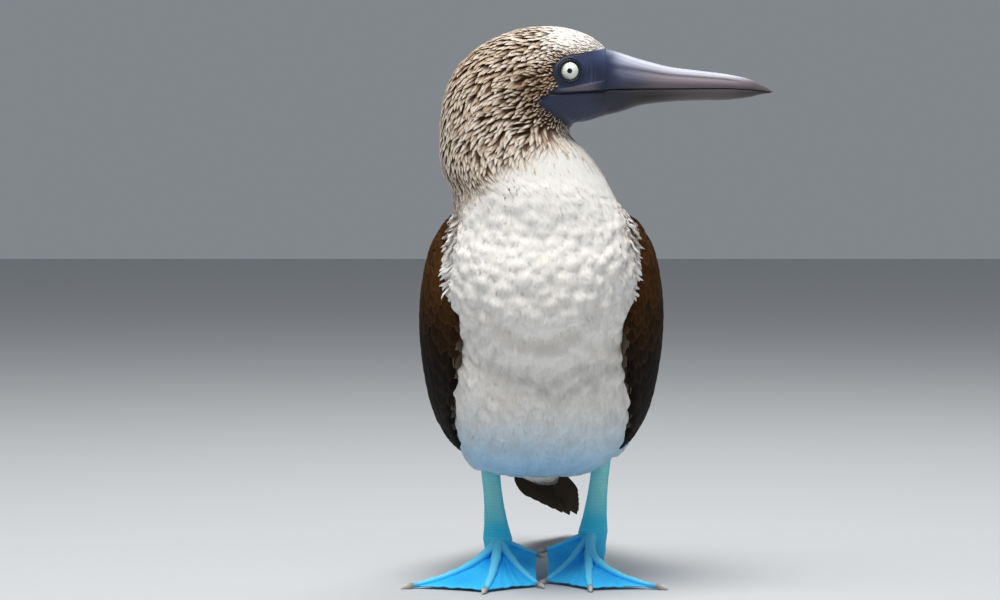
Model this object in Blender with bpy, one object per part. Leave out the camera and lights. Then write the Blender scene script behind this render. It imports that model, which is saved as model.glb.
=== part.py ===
"""A life-size blue-footed booby, standing with its head turned over its left shoulder.

The bird faces -Y and looks along +X; its soles rest on z = 0. Sizes are in
millimetres, and MM turns them into Blender's metres when a mesh is made.
"""

import math

import bmesh
import bpy
import numpy as np

MM = 0.001
GAP = 0.3  # between nodes that meet

# Trunk, from the tail root to the base of the neck: belly side (y, z), back (y, z), half width,
# and how much fuller than an ellipse the belly's corners are
TRUNK_X = -3.0
TRUNK = [
    ((146, 46), (160, 74), 17, 0),
    ((116, 47), (142, 88), 29, 0.05),
    ((82, 51), (122, 108), 41, 0.12),
    ((42, 55), (98, 138), 50, 0.16),
    ((0, 61), (74, 164), 54.5, 0.16),
    ((-38, 75), (54, 184), 56.5, 0.12),
    ((-59, 103), (38, 199), 58, 0.06),
    ((-62.5, 131), (26, 209), 59, 0.03),
    ((-85, 159), (16, 217), 60, 0.02),
    ((-90, 187), (8, 223), 59, 0),
    ((-82, 211), (0, 230), 55.5, 0),
]
# Neck and head: throat side (x, z), nape side (x, z), half thickness, about the plane y = HEAD_Y
HEAD_Y = -36.0
NECK = [
    ((44, 232), (-58, 237), 43),
    ((35, 248), (-64, 251), 38.5),
    ((25.5, 262), (-65.8, 266), 35),
    ((15.5, 272.5), (-65.2, 282), 32),
    ((14.5, 276.5), (-62.5, 299), 30),
    ((15.5, 279), (-54, 316.5), 28.5),
    ((17, 280.7), (-38, 330), 27.5),
    ((19, 281.3), (-16, 338.8), 26.3),
    ((22, 281.7), (6, 340.5), 24.5),
    ((28, 283), (24, 336), 21),
    ((36, 285.5), (36.5, 328), 16.5),
]
SECTIONS = len(TRUNK) + len(NECK) - 1
NECK_FROM = len(TRUNK) - 0.9  # where the neck node starts, counted in sections
HEAD_FROM = len(TRUNK) + 3.0
RING_SIDES = 32

# Bare face: outline in x and z, running round the eye from the forehead to the chin
EYE = (13.6, 313.0)
FACE_EDGE = [
    (37.5, 332), (36.5, 327.6), (27, 325), (17, 322.5), (10.5, 320.6), (5.9, 316.5),
    (4.9, 311), (8.6, 304.5), (3, 299.5), (-3.8, 294), (4.4, 287.6), (13, 281.8), (17, 276),
]
EYE_RADIUS = 7.8
LID_RADIUS = 6.9
LID_THICK = 1.15
EYE_SIDE = 22.2  # from the head's middle plane to the plane of the lids

# Bill: x, ridge z, mouth z, lower edge z, half width
BILL = [
    (38.0, 327.2, 301.0, 286.4, 15.6),
    (46.0, 324.4, 301.9, 288.4, 13.4),
    (59.0, 320.3, 302.1, 292.4, 10.9),
    (76.0, 316.0, 302.2, 294.4, 8.9),
    (94.0, 313.6, 302.3, 295.2, 7.4),
    (111.0, 311.5, 302.4, 295.5, 6.2),
    (124.0, 308.8, 301.7, 297.0, 4.8),
    (131.0, 305.9, 300.9, 298.6, 3.4),
    (136.5, 303.0, 300.2, 299.6, 2.0),
]
BILL_TIP = (140.2, 299.9)
LOWER_BILL_TIP = (130.6, 300.2)
MOUTH_GAP = 0.6

# Folded wing on the bird's left: lower edge, middle and upper edge (x, y, z), from shoulder to tip
WING = [
    ((53, -34, 215), (59, -26, 222), (44, -8, 226)),
    ((59, -42, 196), (69, -20, 203), (41, 20, 219)),
    ((51, -56, 158), (75, -4, 172), (32, 52, 198)),
    ((50, -46, 124), (74, 24, 140), (23, 82, 170)),
    ((54, -10, 93), (67, 58, 110), (15, 110, 137)),
    ((49, 46, 70), (56, 97, 86), (9, 136, 107)),
    ((36, 104, 60), (41, 137, 72), (5.5, 161, 85)),
    ((23, 160, 52), (25, 181, 59), (4, 192, 67)),
    ((13.5, 210, 38), (14.5, 224, 43), (3, 229, 48)),
    ((7.5, 255, 25), (7.5, 260, 28), (3, 263, 31)),
]
WING_CORE = 5.2  # sections of the wing that are solid under the feathers
VANE_THICK = 0.7
COVERT_THICK = 3.2  # coverts are bedded in the wing
VANE_STEP = 1.1  # how far each vane lies over the next

# Tail: a fan of feathers from a covert-clad root, swung a little to the bird's left
TAIL_ROOT = (-10.0, 152.0, 58.5)
TAIL_LENGTH = 126.0
TAIL_DROP = math.radians(26)
TAIL_SWING = math.radians(15)
TAIL_PAIRS = 6
TAIL_REACH = [1.0, 0.93, 0.84, 0.745, 0.65, 0.56]
TAIL_SPREAD = 0.025  # radians from feather to feather
# Tail root: share of the tail's length, half width, half depth
TAIL_STUMP = [(-0.05, 14, 10.5), (0.1, 17, 10.5), (0.28, 16, 7.6), (0.42, 12.5, 4.2), (0.5, 7, 2)]

# Legs: the ankle is hidden in the belly feathers, and the joint is where the toes spread
FLOOR = -9.0
LEGS = {
    "left": {"ankle": (37.5, 66, 67), "joint": (31.0, 42, 19)},
    "right": {"ankle": (-35.5, 60, 59), "joint": (-30.5, 34, 15)},
}
SHANK = [(0.0, 6.2), (0.3, 5.9), (0.6, 6.2), (0.8, 7.4), (1.0, 8.6)]  # share of the length, radius
SHANK_END = 8.0  # height of the shank's lower end over the joint
# Thigh feathers: height over the ankle, x inwards, y, half width, half depth
THIGH = [(56, 5, -40, 12, 13), (40, 1.5, -30, 18, 19), (24, 0, -17, 19.5, 18), (11, 0, -7, 17, 15),
         (4, 0, -2, 13.5, 12.5), (0.3, 0, 0, 10, 10)]
# Toes from the joint: tip x outwards, tip y, outward bulge, tip height, radius at root and at tip
TOES = {
    "left": [(-31, -9, 0.02, 15, 3.6, 2.0), (-31.5, -50, -0.03, 0, 4.6, 2.3),
             (-4, -86, 0.02, 0, 5.0, 2.5), (38.5, -78, 0.2, 0, 4.6, 2.3)],
    "right": [(-26, -10, 0.02, 13, 3.6, 2.0), (-26, -60, -0.03, 0, 4.6, 2.3),
              (8, -88, 0.02, 0, 5.0, 2.5), (54, -66, 0.13, 0, 4.6, 2.3)],
}
CLAW_LENGTH = 8.5
HALLUX_CLAW = 5.0
WEB_THICK = 1.2

COLOURS = {
    "white": (0.83, 0.80, 0.76), "buff": (0.60, 0.48, 0.36), "brown": (0.105, 0.052, 0.026),
    "dark": (0.035, 0.024, 0.018), "slate": (0.065, 0.08, 0.14), "horn": (0.16, 0.15, 0.18),
    "iris": (0.80, 0.84, 0.68), "shank": (0.10, 0.50, 0.58), "web": (0.02, 0.36, 0.78),
    "claw": (0.50, 0.45, 0.42),
}


def vec(*numbers):
    return np.array(numbers, float)


def unit(v):
    return v / np.linalg.norm(v)


def along(rows, t):
    """Catmull-Rom curve through equally spaced rows of numbers, with t counted in rows."""
    rows = np.asarray(rows, float)
    last = len(rows) - 1
    i = int(min(max(math.floor(t), 0), last - 1))
    f = t - i
    p1, p2 = rows[i], rows[i + 1]
    p0 = rows[i - 1] if i > 0 else 2 * p1 - p2
    p3 = rows[i + 2] if i + 2 <= last else 2 * p2 - p1
    return 0.5 * (2 * p1 + (p2 - p0) * f + (2 * p0 - 5 * p1 + 4 * p2 - p3) * f * f
                  + (3 * p1 - p0 - 3 * p2 + p3) * f ** 3)


def body_rows():
    """Each section as a centre, four half axes (left, right, front and back) and the belly's fullness."""
    rows = []
    for (fy, fz), (by, bz), half, full in TRUNK:
        front, back = vec(TRUNK_X, fy, fz), vec(TRUNK_X, by, bz)
        centre = (front + back) / 2
        rows.append(np.concatenate([centre, (half, 0, 0), (-half, 0, 0), front - centre, back - centre, (full,)]))
    for (tx, tz), (nx, nz), half in NECK:
        throat, nape = vec(tx, HEAD_Y, tz), vec(nx, HEAD_Y, nz)
        centre = (throat + nape) / 2
        rows.append(np.concatenate([centre, throat - centre, nape - centre, (0, -half, 0), (0, half, 0), (0,)]))
    return rows


BODY_ROWS = body_rows()


def body_point(t, angle, lift=0.0):
    """A point on the body's feathered outline; angle 0 is the bird's left, and a quarter turn the front."""
    row = along(BODY_ROWS, t)
    centre, left, right, front, back = np.split(row[:15], 5)
    c, s = math.cos(angle), math.sin(angle)
    across, deep = (left if c > 0 else right) * abs(c), (front if s > 0 else back) * abs(s)
    full = 1 + (row[15] * (2 * s * c) ** 2 if s > 0 else 0)
    point = centre + (across + deep) * full
    if lift:
        point = point + lift * body_normal(t, angle)
    return point


def body_normal(t, angle):
    step = 0.02
    around = body_point(t, angle + step) - body_point(t, angle - step)
    ahead = body_point(t + step, angle) - body_point(t - step, angle)
    return unit(np.cross(ahead, around))


def mesh_object(name, bm):
    """An object from a closed bmesh in millimetres, with its faces pointing out."""
    bmesh.ops.remove_doubles(bm, verts=bm.verts, dist=0.01)
    bmesh.ops.dissolve_degenerate(bm, edges=bm.edges, dist=0.005)
    bmesh.ops.recalc_face_normals(bm, faces=bm.faces)
    if bm.calc_volume(signed=True) < 0:
        bmesh.ops.reverse_faces(bm, faces=bm.faces)
    bmesh.ops.scale(bm, vec=(MM, MM, MM), verts=bm.verts)
    mesh = bpy.data.meshes.new(name)
    bm.to_mesh(mesh)
    bm.free()
    obj = bpy.data.objects.new(name, mesh)
    bpy.context.scene.collection.objects.link(obj)
    return obj


def loft(name, rings, tips=(None, None)):
    """A closed tube through rings of equal length, capped flat or drawn to a point at either end."""
    bm = bmesh.new()
    loops = [[bm.verts.new(p) for p in ring] for ring in rings]
    for one, two in zip(loops, loops[1:]):
        for i in range(len(one)):
            j = (i + 1) % len(one)
            bm.faces.new((one[i], one[j], two[j], two[i]))
    for loop, tip in ((loops[0], tips[0]), (loops[-1], tips[1])):
        if tip is None:
            bm.faces.new(loop)
            continue
        point = bm.verts.new(tip)
        for i in range(len(loop)):
            bm.faces.new((loop[i], loop[(i + 1) % len(loop)], point))
    return mesh_object(name, bm)


def slab(name, top, bottom):
    """A closed sheet between two grids of points that have the same shape."""
    rows, cols = len(top), len(top[0])
    bm = bmesh.new()
    upper = [[bm.verts.new(p) for p in row] for row in top]
    lower = [[bm.verts.new(p) for p in row] for row in bottom]
    for i in range(rows - 1):
        for j in range(cols - 1):
            a, b, c, d = upper[i][j], upper[i][j + 1], upper[i + 1][j + 1], upper[i + 1][j]
            bm.faces.new((a, b, c))
            bm.faces.new((a, c, d))
            a, b, c, d = lower[i][j], lower[i][j + 1], lower[i + 1][j + 1], lower[i + 1][j]
            bm.faces.new((c, b, a))
            bm.faces.new((d, c, a))
    rim = [(0, j) for j in range(cols)] + [(i, cols - 1) for i in range(1, rows)]
    rim += [(rows - 1, j) for j in range(cols - 2, -1, -1)] + [(i, 0) for i in range(rows - 2, 0, -1)]
    for (i, j), (k, m) in zip(rim, rim[1:] + rim[:1]):
        bm.faces.new((upper[i][j], lower[i][j], lower[k][m], upper[k][m]))
    return mesh_object(name, bm)


def tube(name, points, radii, sides=8, squash=1.0):
    """A tube with its own radius at each point, flattened in height by squash and kept above the floor."""
    points = [np.asarray(p, float) for p in points]
    rings = []
    for i, (point, radius) in enumerate(zip(points, radii)):
        ahead = unit(points[min(i + 1, len(points) - 1)] - points[max(i - 1, 0)])
        side = unit(np.cross(ahead, (0, 0, 1)) if abs(ahead[2]) < 0.95 else np.cross(ahead, (0, 1, 0)))
        up = np.cross(side, ahead)
        ring = []
        for k in range(sides):
            turn = 2 * math.pi * k / sides
            p = point + radius * (math.cos(turn) * side + squash * math.sin(turn) * up)
            p[2] = max(p[2], FLOOR)
            ring.append(p)
        rings.append(ring)
    return loft(name, rings)


def stack(name, rows, sides=14):
    """A closed body through level rings, each a centre (x, y, z), a half width and a half depth."""
    rings = []
    for x, y, z, wide, deep in rows:
        turns = [2 * math.pi * k / sides for k in range(sides)]
        rings.append([vec(x + wide * math.cos(a), y + deep * math.sin(a), z) for a in turns])
    return loft(name, rings)


def ball(name, centre, radius, segments=20, rings=12, stretch=(1, 1, 1)):
    bm = bmesh.new()
    bmesh.ops.create_uvsphere(bm, u_segments=segments, v_segments=rings, radius=radius)
    bmesh.ops.scale(bm, vec=stretch, verts=bm.verts)
    bmesh.ops.translate(bm, vec=tuple(centre), verts=bm.verts)
    return mesh_object(name, bm)


def block(name, low, high):
    bm = bmesh.new()
    bmesh.ops.create_cube(bm, size=1.0)
    low, high = np.asarray(low, float), np.asarray(high, float)
    bmesh.ops.scale(bm, vec=tuple(high - low), verts=bm.verts)
    bmesh.ops.translate(bm, vec=tuple((high + low) / 2), verts=bm.verts)
    return mesh_object(name, bm)


def settle(obj):
    """Splits every face into triangles with no edge shared by more than two of them.

    Two neighbours may both cut the same corner off their shared border; the corner is
    then taken out first when nothing else meets there.
    """
    whole = bmesh.new()
    whole.from_mesh(obj.data)
    for attempt in range(16):
        bmesh.ops.remove_doubles(whole, verts=whole.verts, dist=2e-6)
        bmesh.ops.dissolve_degenerate(whole, edges=whole.edges, dist=2e-6)
        whole.verts.index_update()
        bm = whole.copy()
        bmesh.ops.triangulate(bm, faces=bm.faces, quad_method="BEAUTY", ngon_method="BEAUTY")
        clashes = [[v.index for v in e.verts] for e in bm.edges if len(e.link_faces) != 2]
        if not clashes:
            bm.to_mesh(obj.data)
            bm.free()
            break
        bm.free()
        whole.verts.ensure_lookup_table()
        corners = set()
        for a, b in clashes:
            one = {e.other_vert(whole.verts[a]) for e in whole.verts[a].link_edges}
            two = {e.other_vert(whole.verts[b]) for e in whole.verts[b].link_edges}
            between = [v for v in one & two if len(v.link_edges) == 2]
            corners.update(between[:1])
        if corners:
            bmesh.ops.dissolve_verts(whole, verts=list(corners))
        else:
            for a, b in clashes:
                shared = [f for f in whole.verts[a].link_faces if whole.verts[b] in f.verts and len(f.verts) > 3]
                if shared:
                    least = min(shared, key=lambda f: f.calc_area())
                    bmesh.ops.triangulate(whole, faces=[least], ngon_method="EAR_CLIP", quad_method="ALTERNATE")
    else:
        print("not settled:", obj.name, len(clashes))
    whole.free()


def remove(obj):
    mesh = obj.data
    bpy.data.objects.remove(obj)
    bpy.data.meshes.remove(mesh)


def apply_modifiers(obj):
    bpy.context.view_layer.update()
    graph = bpy.context.evaluated_depsgraph_get()
    made = bpy.data.meshes.new_from_object(obj.evaluated_get(graph))
    old = obj.data
    obj.modifiers.clear()
    obj.data = made
    bpy.data.meshes.remove(old)


def keep_largest(obj):
    """Drops every closed surface of the mesh but the largest."""
    bm = bmesh.new()
    bm.from_mesh(obj.data)
    left, shells = set(bm.verts), []
    while left:
        shell, todo = set(), [left.pop()]
        while todo:
            vert = todo.pop()
            shell.add(vert)
            for edge in vert.link_edges:
                other = edge.other_vert(vert)
                if other in left:
                    left.remove(other)
                    todo.append(other)
        shells.append(shell)
    for shell in sorted(shells, key=len)[:-1]:
        bmesh.ops.delete(bm, geom=list(shell), context="VERTS")
    bm.to_mesh(obj.data)
    bm.free()


def boolean(obj, operation, other, solver="MANIFOLD"):
    """Joins to, cuts from or keeps of obj the one object other, which is then removed."""
    modifier = obj.modifiers.new("cut", "BOOLEAN")
    modifier.operation = operation
    modifier.solver = solver
    modifier.object = other
    apply_modifiers(obj)
    remove(other)
    keep_largest(obj)
    settle(obj)
    return obj


def fuse(name, pieces):
    """One closed body from pieces that overlap."""
    body, rest = pieces[0], pieces[1:]
    body.name = name
    together = bpy.data.collections.new(name + "_pieces")
    for piece in rest:
        together.objects.link(piece)
    modifier = body.modifiers.new("join", "BOOLEAN")
    modifier.operation = "UNION"
    modifier.solver = "MANIFOLD"
    modifier.operand_type = "COLLECTION"
    modifier.collection = together
    apply_modifiers(body)
    for piece in rest:
        remove(piece)
    bpy.data.collections.remove(together)
    keep_largest(body)
    settle(body)
    return body


def finish(obj, colour, roughness, smooth_angle=35):
    """Gives a node its own material and smooth shading."""
    material = bpy.data.materials.new(obj.name)
    material.use_nodes = True
    shader = material.node_tree.nodes["Principled BSDF"]
    shader.inputs["Base Color"].default_value = (*COLOURS[colour], 1)
    shader.inputs["Roughness"].default_value = roughness
    shader.inputs["Metallic"].default_value = 0.0
    obj.data.materials.clear()
    obj.data.materials.append(material)
    obj.data.shade_smooth()
    obj.data.set_sharp_from_angle(angle=math.radians(smooth_angle))
    return obj


def body_stretch(name, start, end, step, lift=0.0, trim=(0.0, 0.0), sides=RING_SIDES):
    """The body's outline between two sections, each end moved in by trim."""
    inner = [k * step for k in range(int(SECTIONS / step) + 1)]
    places = [start] + [t for t in inner if start + 0.1 < t < end - 0.1] + [end]
    rings = [[body_point(t, 2 * math.pi * i / sides, lift) for i in range(sides)] for t in places]
    for ring, inner, share in ((rings[0], rings[1], trim[0]), (rings[-1], rings[-2], trim[1])):
        if share:
            for i in range(sides):
                ring[i] = ring[i] + share * unit(inner[i] - ring[i])
    return loft(name, rings)


def torso():
    """Trunk with the feathered thigh over each leg, cut level where the bare shank comes out."""
    body = fuse("torso", [body_stretch("torso", 0.0, NECK_FROM, 0.5)] + [thigh(side) for side in LEGS])
    for side in LEGS:
        rows = [(x, y, z, r + GAP, r + 2 * GAP) for x, y, z, r in shank_rows(side)]
        x, y, z, wide, deep = rows[0]
        rows[0] = (x, y, z + 2 * GAP, wide, deep)
        boolean(body, "DIFFERENCE", stack("leg_room", rows))
    return finish(body, "white", 0.8)


def thigh(side, grow=0.0):
    (x, y, z), inwards = LEGS[side]["ankle"], -1 if side == "left" else 1
    rows = [(x + inwards * dx, y + dy, z + dz, wide + grow, deep + grow) for dz, dx, dy, wide, deep in THIGH]
    first, last = rows[0], rows[-1]
    rows[0], rows[-1] = (*first[:2], first[2] + grow, *first[3:]), (*last[:2], last[2] - grow, *last[3:])
    return stack("thigh", rows)


def shank_rows(side):
    """Centre and radius along the bare shank, from the thigh feathers to the top of the foot."""
    ankle, joint = vec(*LEGS[side]["ankle"]), vec(*LEGS[side]["joint"])
    end = ankle + (joint - ankle) * (1 - SHANK_END / (ankle[2] - joint[2]))
    return [(*(ankle + (end - ankle) * s), r) for s, r in SHANK]


def neck():
    made = body_stretch("neck", NECK_FROM, HEAD_FROM, 0.5, trim=(GAP, 0))
    return finish(made, "buff", 0.8)


def face_cutter(name, grow):
    """A prism through the head with the outline of the bare face, its rear edge moved back by grow."""
    edge = [vec(x, z) for x, z in FACE_EDGE]
    middle = vec(40, 300)
    edge = [p + grow * unit(p - middle) for p in edge]
    outline = [*edge, vec(80, 270), vec(80, 340)]
    rings = [[vec(x, HEAD_Y + side * 45, z) for x, z in outline] for side in (-1, 1)]
    return loft(name, rings)


def eye_centre(side):
    return vec(EYE[0], HEAD_Y + side * (EYE_SIDE - EYE_RADIUS + 1.4), EYE[1])


def ring_torus(name, centre, axis_side, radius, thick):
    """The lids: a ring of round section that lies in a plane of the head's side."""
    bm = bmesh.new()
    turns, sides = 16, 6
    loops = []
    for i in range(turns):
        a = 2 * math.pi * i / turns
        loop = []
        for j in range(sides):
            b = 2 * math.pi * j / sides
            r = radius + thick * math.cos(b)
            p = centre + vec(r * math.cos(a), axis_side * thick * math.sin(b), r * math.sin(a))
            loop.append(bm.verts.new(p))
        loops.append(loop)
    for i in range(turns):
        one, two = loops[i], loops[(i + 1) % turns]
        for j in range(sides):
            k = (j + 1) % sides
            bm.faces.new((one[j], one[k], two[k], two[j]))
    return mesh_object(name, bm)


def head_parts():
    """The feathered head, the bare face with its lids and mouth line, and the two eyes."""
    end = SECTIONS - 0.0
    whole = body_stretch("head", HEAD_FROM, end, 0.4, trim=(GAP, 0))
    face = whole.copy()
    face.data = whole.data.copy()
    face.name = "face"
    bpy.context.scene.collection.objects.link(face)
    boolean(whole, "DIFFERENCE", face_cutter("face_cut", GAP))
    boolean(face, "INTERSECT", face_cutter("face_keep", 0.0))
    lids = []
    for side in (-1, 1):
        lids.append(ring_torus("lid", vec(EYE[0], HEAD_Y + side * EYE_SIDE, EYE[1]), side, LID_RADIUS, LID_THICK))
    face = fuse("face", [face] + lids)
    eyes = []
    for side, name in ((-1, "eye_right"), (1, "eye_left")):
        boolean(face, "DIFFERENCE", ball("socket", eye_centre(side), EYE_RADIUS + GAP, 16, 10))
        eyes.append(ball(name, eye_centre(side), EYE_RADIUS, 16, 10))
        gape = [vec(x, HEAD_Y + side * y, z) for x, y, z in ((3, 26, 298.9), (40, 26, 300.9), (40, 15.5, 300.9), (3, 21.5, 298.9))]
        groove = [[p + vec(0, 0, d) for p in gape] for d in (-0.45, 0.45)]
        boolean(face, "DIFFERENCE", loft("gape", groove))
    for eye in eyes:
        finish(eye, "iris", 0.1)
    return finish(whole, "buff", 0.8), finish(face, "slate", 0.45)


def bill():
    """Two mandibles that meet along the mouth line and butt against the bare face."""
    turns = 9
    upper, lower = [], []
    for x, ridge, mouth, bottom, half in BILL:
        x = x + GAP - 0.6 if x == BILL[0][0] else x
        lift, drop = mouth + MOUTH_GAP / 2, mouth - MOUTH_GAP / 2
        arc = [math.pi * k / (turns - 1) for k in range(turns)]
        upper.append([vec(x, HEAD_Y + half * math.cos(a), lift + (ridge - lift) * math.sin(a) ** 0.9) for a in arc])
        if x < LOWER_BILL_TIP[0]:
            lower.append([vec(x, HEAD_Y + 0.94 * half * math.cos(a), drop - (drop - bottom) * math.sin(a) ** 0.75)
                          for a in arc])
    one = loft("bill_upper", upper, (None, vec(BILL_TIP[0], HEAD_Y, BILL_TIP[1])))
    two = loft("bill_lower", lower, (None, vec(LOWER_BILL_TIP[0], HEAD_Y, LOWER_BILL_TIP[1])))
    return finish(one, "horn", 0.4), finish(two, "horn", 0.4)


def wing_point(a, b, lift=0.0):
    """A point on the folded left wing: a runs from shoulder to tip in sections, b from lower to upper edge."""
    low, middle, high = np.split(along([np.concatenate(row) for row in WING], a), 3)
    point = low * (1 - b) * (1 - 2 * b) + middle * 4 * b * (1 - b) + high * b * (2 * b - 1)
    if lift:
        point = point + lift * wing_normal(a, b)
    return point


def wing_normal(a, b):
    step = 0.02
    out = np.cross(wing_point(a, b + step) - wing_point(a, b - step), wing_point(a + step, b) - wing_point(a - step, b))
    return unit(out if out[0] + 0.3 * out[2] > 0 else -out)


def wing_core():
    """The solid of the folded arm and its small feathers, cut to lie against the body."""
    lengths = np.linspace(0.0, WING_CORE, 15)
    widths = np.linspace(0.0, 1.0, 9)
    top, bottom = [], []
    for a in lengths:
        thin = min(1.0, (WING_CORE - a) / 1.6 + 0.12)
        top.append([wing_point(a, b) for b in widths])
        depth = [(3.0 + 25.0 * math.sin(math.pi * b) ** 0.8) * thin for b in widths]
        bottom.append([wing_point(a, b, -d) for b, d in zip(widths, depth)])
    return slab("wing_core", top, bottom)


def vane(name, surface, start, end, half, lift, tilt=0.0, sink=2.4, rise=0.35, steps=4, tip_round=0.82,
         thick=VANE_THICK):
    """One feather laid on a surface(a, b, lift), from its sunken root to its rounded tip.

    start and end are (a, b) places, half is the half width in b, and tilt is the
    height gained per unit of b towards the upper edge.
    """
    top, bottom = [], []
    for k in range(steps + 1):
        s = k / steps
        a = start[0] + (end[0] - start[0]) * s
        b = start[1] + (end[1] - start[1]) * s
        if s < 0.5:
            wide = half * (0.62 + 0.38 * math.sin(math.pi * s))
        else:
            wide = half * max(0.16, (1 - ((s - 0.5) / 0.5) ** 3.2)) ** tip_round
        height = lift - sink * max(0.0, 1 - s / 0.22) + rise * s
        row_top, row_bottom = [], []
        for u in (-1, 0, 1):
            crown = 0.25 if u == 0 else 0.0
            h = height + tilt * u * wide + crown
            row_top.append(surface(a, b + u * wide, h))
            row_bottom.append(surface(a, b + u * wide, h - thick - crown))
        top.append(row_top)
        bottom.append(row_bottom)
    return slab(name, top, bottom)


def wing_vanes():
    """Flight feathers, then the tiers of coverts that lie over their roots."""
    made = []
    flight = 9
    for i in range(flight):
        share = i / (flight - 1)
        b_root, b_tip = 0.10 + 0.80 * share, 0.22 + 0.62 * share
        a_root = 4.3 - 0.9 * share
        a_tip = 9.0 - 0.5 * min(i, 4) - 0.42 * max(0, i - 4)
        half = 0.092 + 0.015 * share
        made.append(vane("flight", wing_point, (a_root, b_root), (a_tip, b_tip), half, 0.5,
                         tilt=-VANE_STEP / 0.08, steps=4, tip_round=0.9))
    tiers = ((3.35, 5.6, 7, 1.9, 0.0), (2.35, 4.2, 6, 2.3, 0.5), (1.45, 3.05, 6, 2.2, 0.0), (0.65, 2.0, 5, 2.1, 0.5))
    for a_root, a_tip, count, lift, shift in tiers:
        pitch = 0.90 / count
        for i in range(count):
            b = 0.07 + pitch * (i + 0.35 + 0.5 * shift)
            trail = 0.35 * math.sin(math.pi * b)
            made.append(vane("covert", wing_point, (a_root, b), (a_tip + trail, b), pitch * 0.66, lift,
                             tilt=-VANE_STEP / pitch, steps=3, sink=3.6, thick=COVERT_THICK))
    return made


def mirrored(obj, name):
    """The same piece on the bird's right."""
    bm = bmesh.new()
    bm.from_mesh(obj.data)
    bmesh.ops.scale(bm, vec=(-1, 1, 1), verts=bm.verts)
    bmesh.ops.translate(bm, vec=(2 * TRUNK_X * MM, 0, 0), verts=bm.verts)
    bmesh.ops.reverse_faces(bm, faces=bm.faces)
    mesh = bpy.data.meshes.new(name)
    bm.to_mesh(mesh)
    bm.free()
    other = bpy.data.objects.new(name, mesh)
    bpy.context.scene.collection.objects.link(other)
    return other


def wings():
    """Both folded wings, each one body, trimmed clear of the trunk and neck."""
    left = fuse("wing_left", [wing_core()] + wing_vanes())
    bmesh_shift(left, TRUNK_X)
    right = mirrored(left, "wing_right")
    for side, wing in (("left", left), ("right", right)):
        boolean(wing, "DIFFERENCE", body_stretch("body_cut", 0.0, HEAD_FROM, 0.5, lift=0.45))
        boolean(wing, "DIFFERENCE", thigh(side, 0.45))
        boolean(wing, "DIFFERENCE", tail_root(0.45))
        finish(wing, "brown", 0.6)


def bmesh_shift(obj, x):
    bm = bmesh.new()
    bm.from_mesh(obj.data)
    bmesh.ops.translate(bm, vec=(x * MM, 0, 0), verts=bm.verts)
    bm.to_mesh(obj.data)
    bm.free()


def tail_point(a, b, lift=0.0):
    """A point on the tail's fan: a from root 0 to tip 1, b as an angle across the fan."""
    out = TAIL_LENGTH * a
    side = 0.3 * out * math.sin(b) + 95.0 * b
    back = out * math.cos(b)
    x = side * math.cos(TAIL_SWING) + back * math.sin(TAIL_SWING)
    y = back * math.cos(TAIL_SWING) - side * math.sin(TAIL_SWING)
    arch = -0.0022 * side * side
    z = lift + arch
    return vec(TAIL_ROOT[0] + x, TAIL_ROOT[1] + y * math.cos(TAIL_DROP) + z * math.sin(TAIL_DROP),
               TAIL_ROOT[2] - y * math.sin(TAIL_DROP) + z * math.cos(TAIL_DROP))


def tail_root(grow=0.0):
    """The covert-clad root of the tail."""
    rings = []
    for share, wide, deep in TAIL_STUMP:
        ring = []
        for k in range(16):
            turn = 2 * math.pi * k / 16
            p = tail_point(share, 0.0, 0.0) + vec((wide + grow) * math.cos(turn), 0, 0)
            up = vec(0, math.sin(TAIL_DROP), math.cos(TAIL_DROP))
            ring.append(p + up * (deep + grow) * math.sin(turn))
        rings.append(ring)
    return loft("tail_root", rings)


def tail():
    """Covert-clad root and a wedge of stiff feathers, the middle pair longest and on top."""
    pieces = [tail_root()]
    for i in range(TAIL_PAIRS):
        for side in (-1, 1):
            spread = side * TAIL_SPREAD * (0.8 + i)
            pieces.append(vane("rectrix", tail_point, (0.14, spread * 0.8), (TAIL_REACH[i], spread), 0.062,
                               1.2 - 0.95 * i, tilt=0.0, sink=0.0, rise=0.0, steps=5, tip_round=0.75))
    fan = fuse("tail", pieces)
    boolean(fan, "DIFFERENCE", body_stretch("trunk_cut", 0.0, 3.0, 0.5, lift=GAP, trim=(-GAP, 0)))
    return finish(fan, "dark", 0.55)


def legs_and_feet():
    for side, leg in LEGS.items():
        rows = shank_rows(side)
        finish(stack("leg_" + side, [(x, y, z, r, r * 1.04) for x, y, z, r in rows]), "shank", 0.5)
        foot(side, vec(*leg["joint"]), vec(*rows[-1][:3]) - vec(0, 0, GAP))


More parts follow.
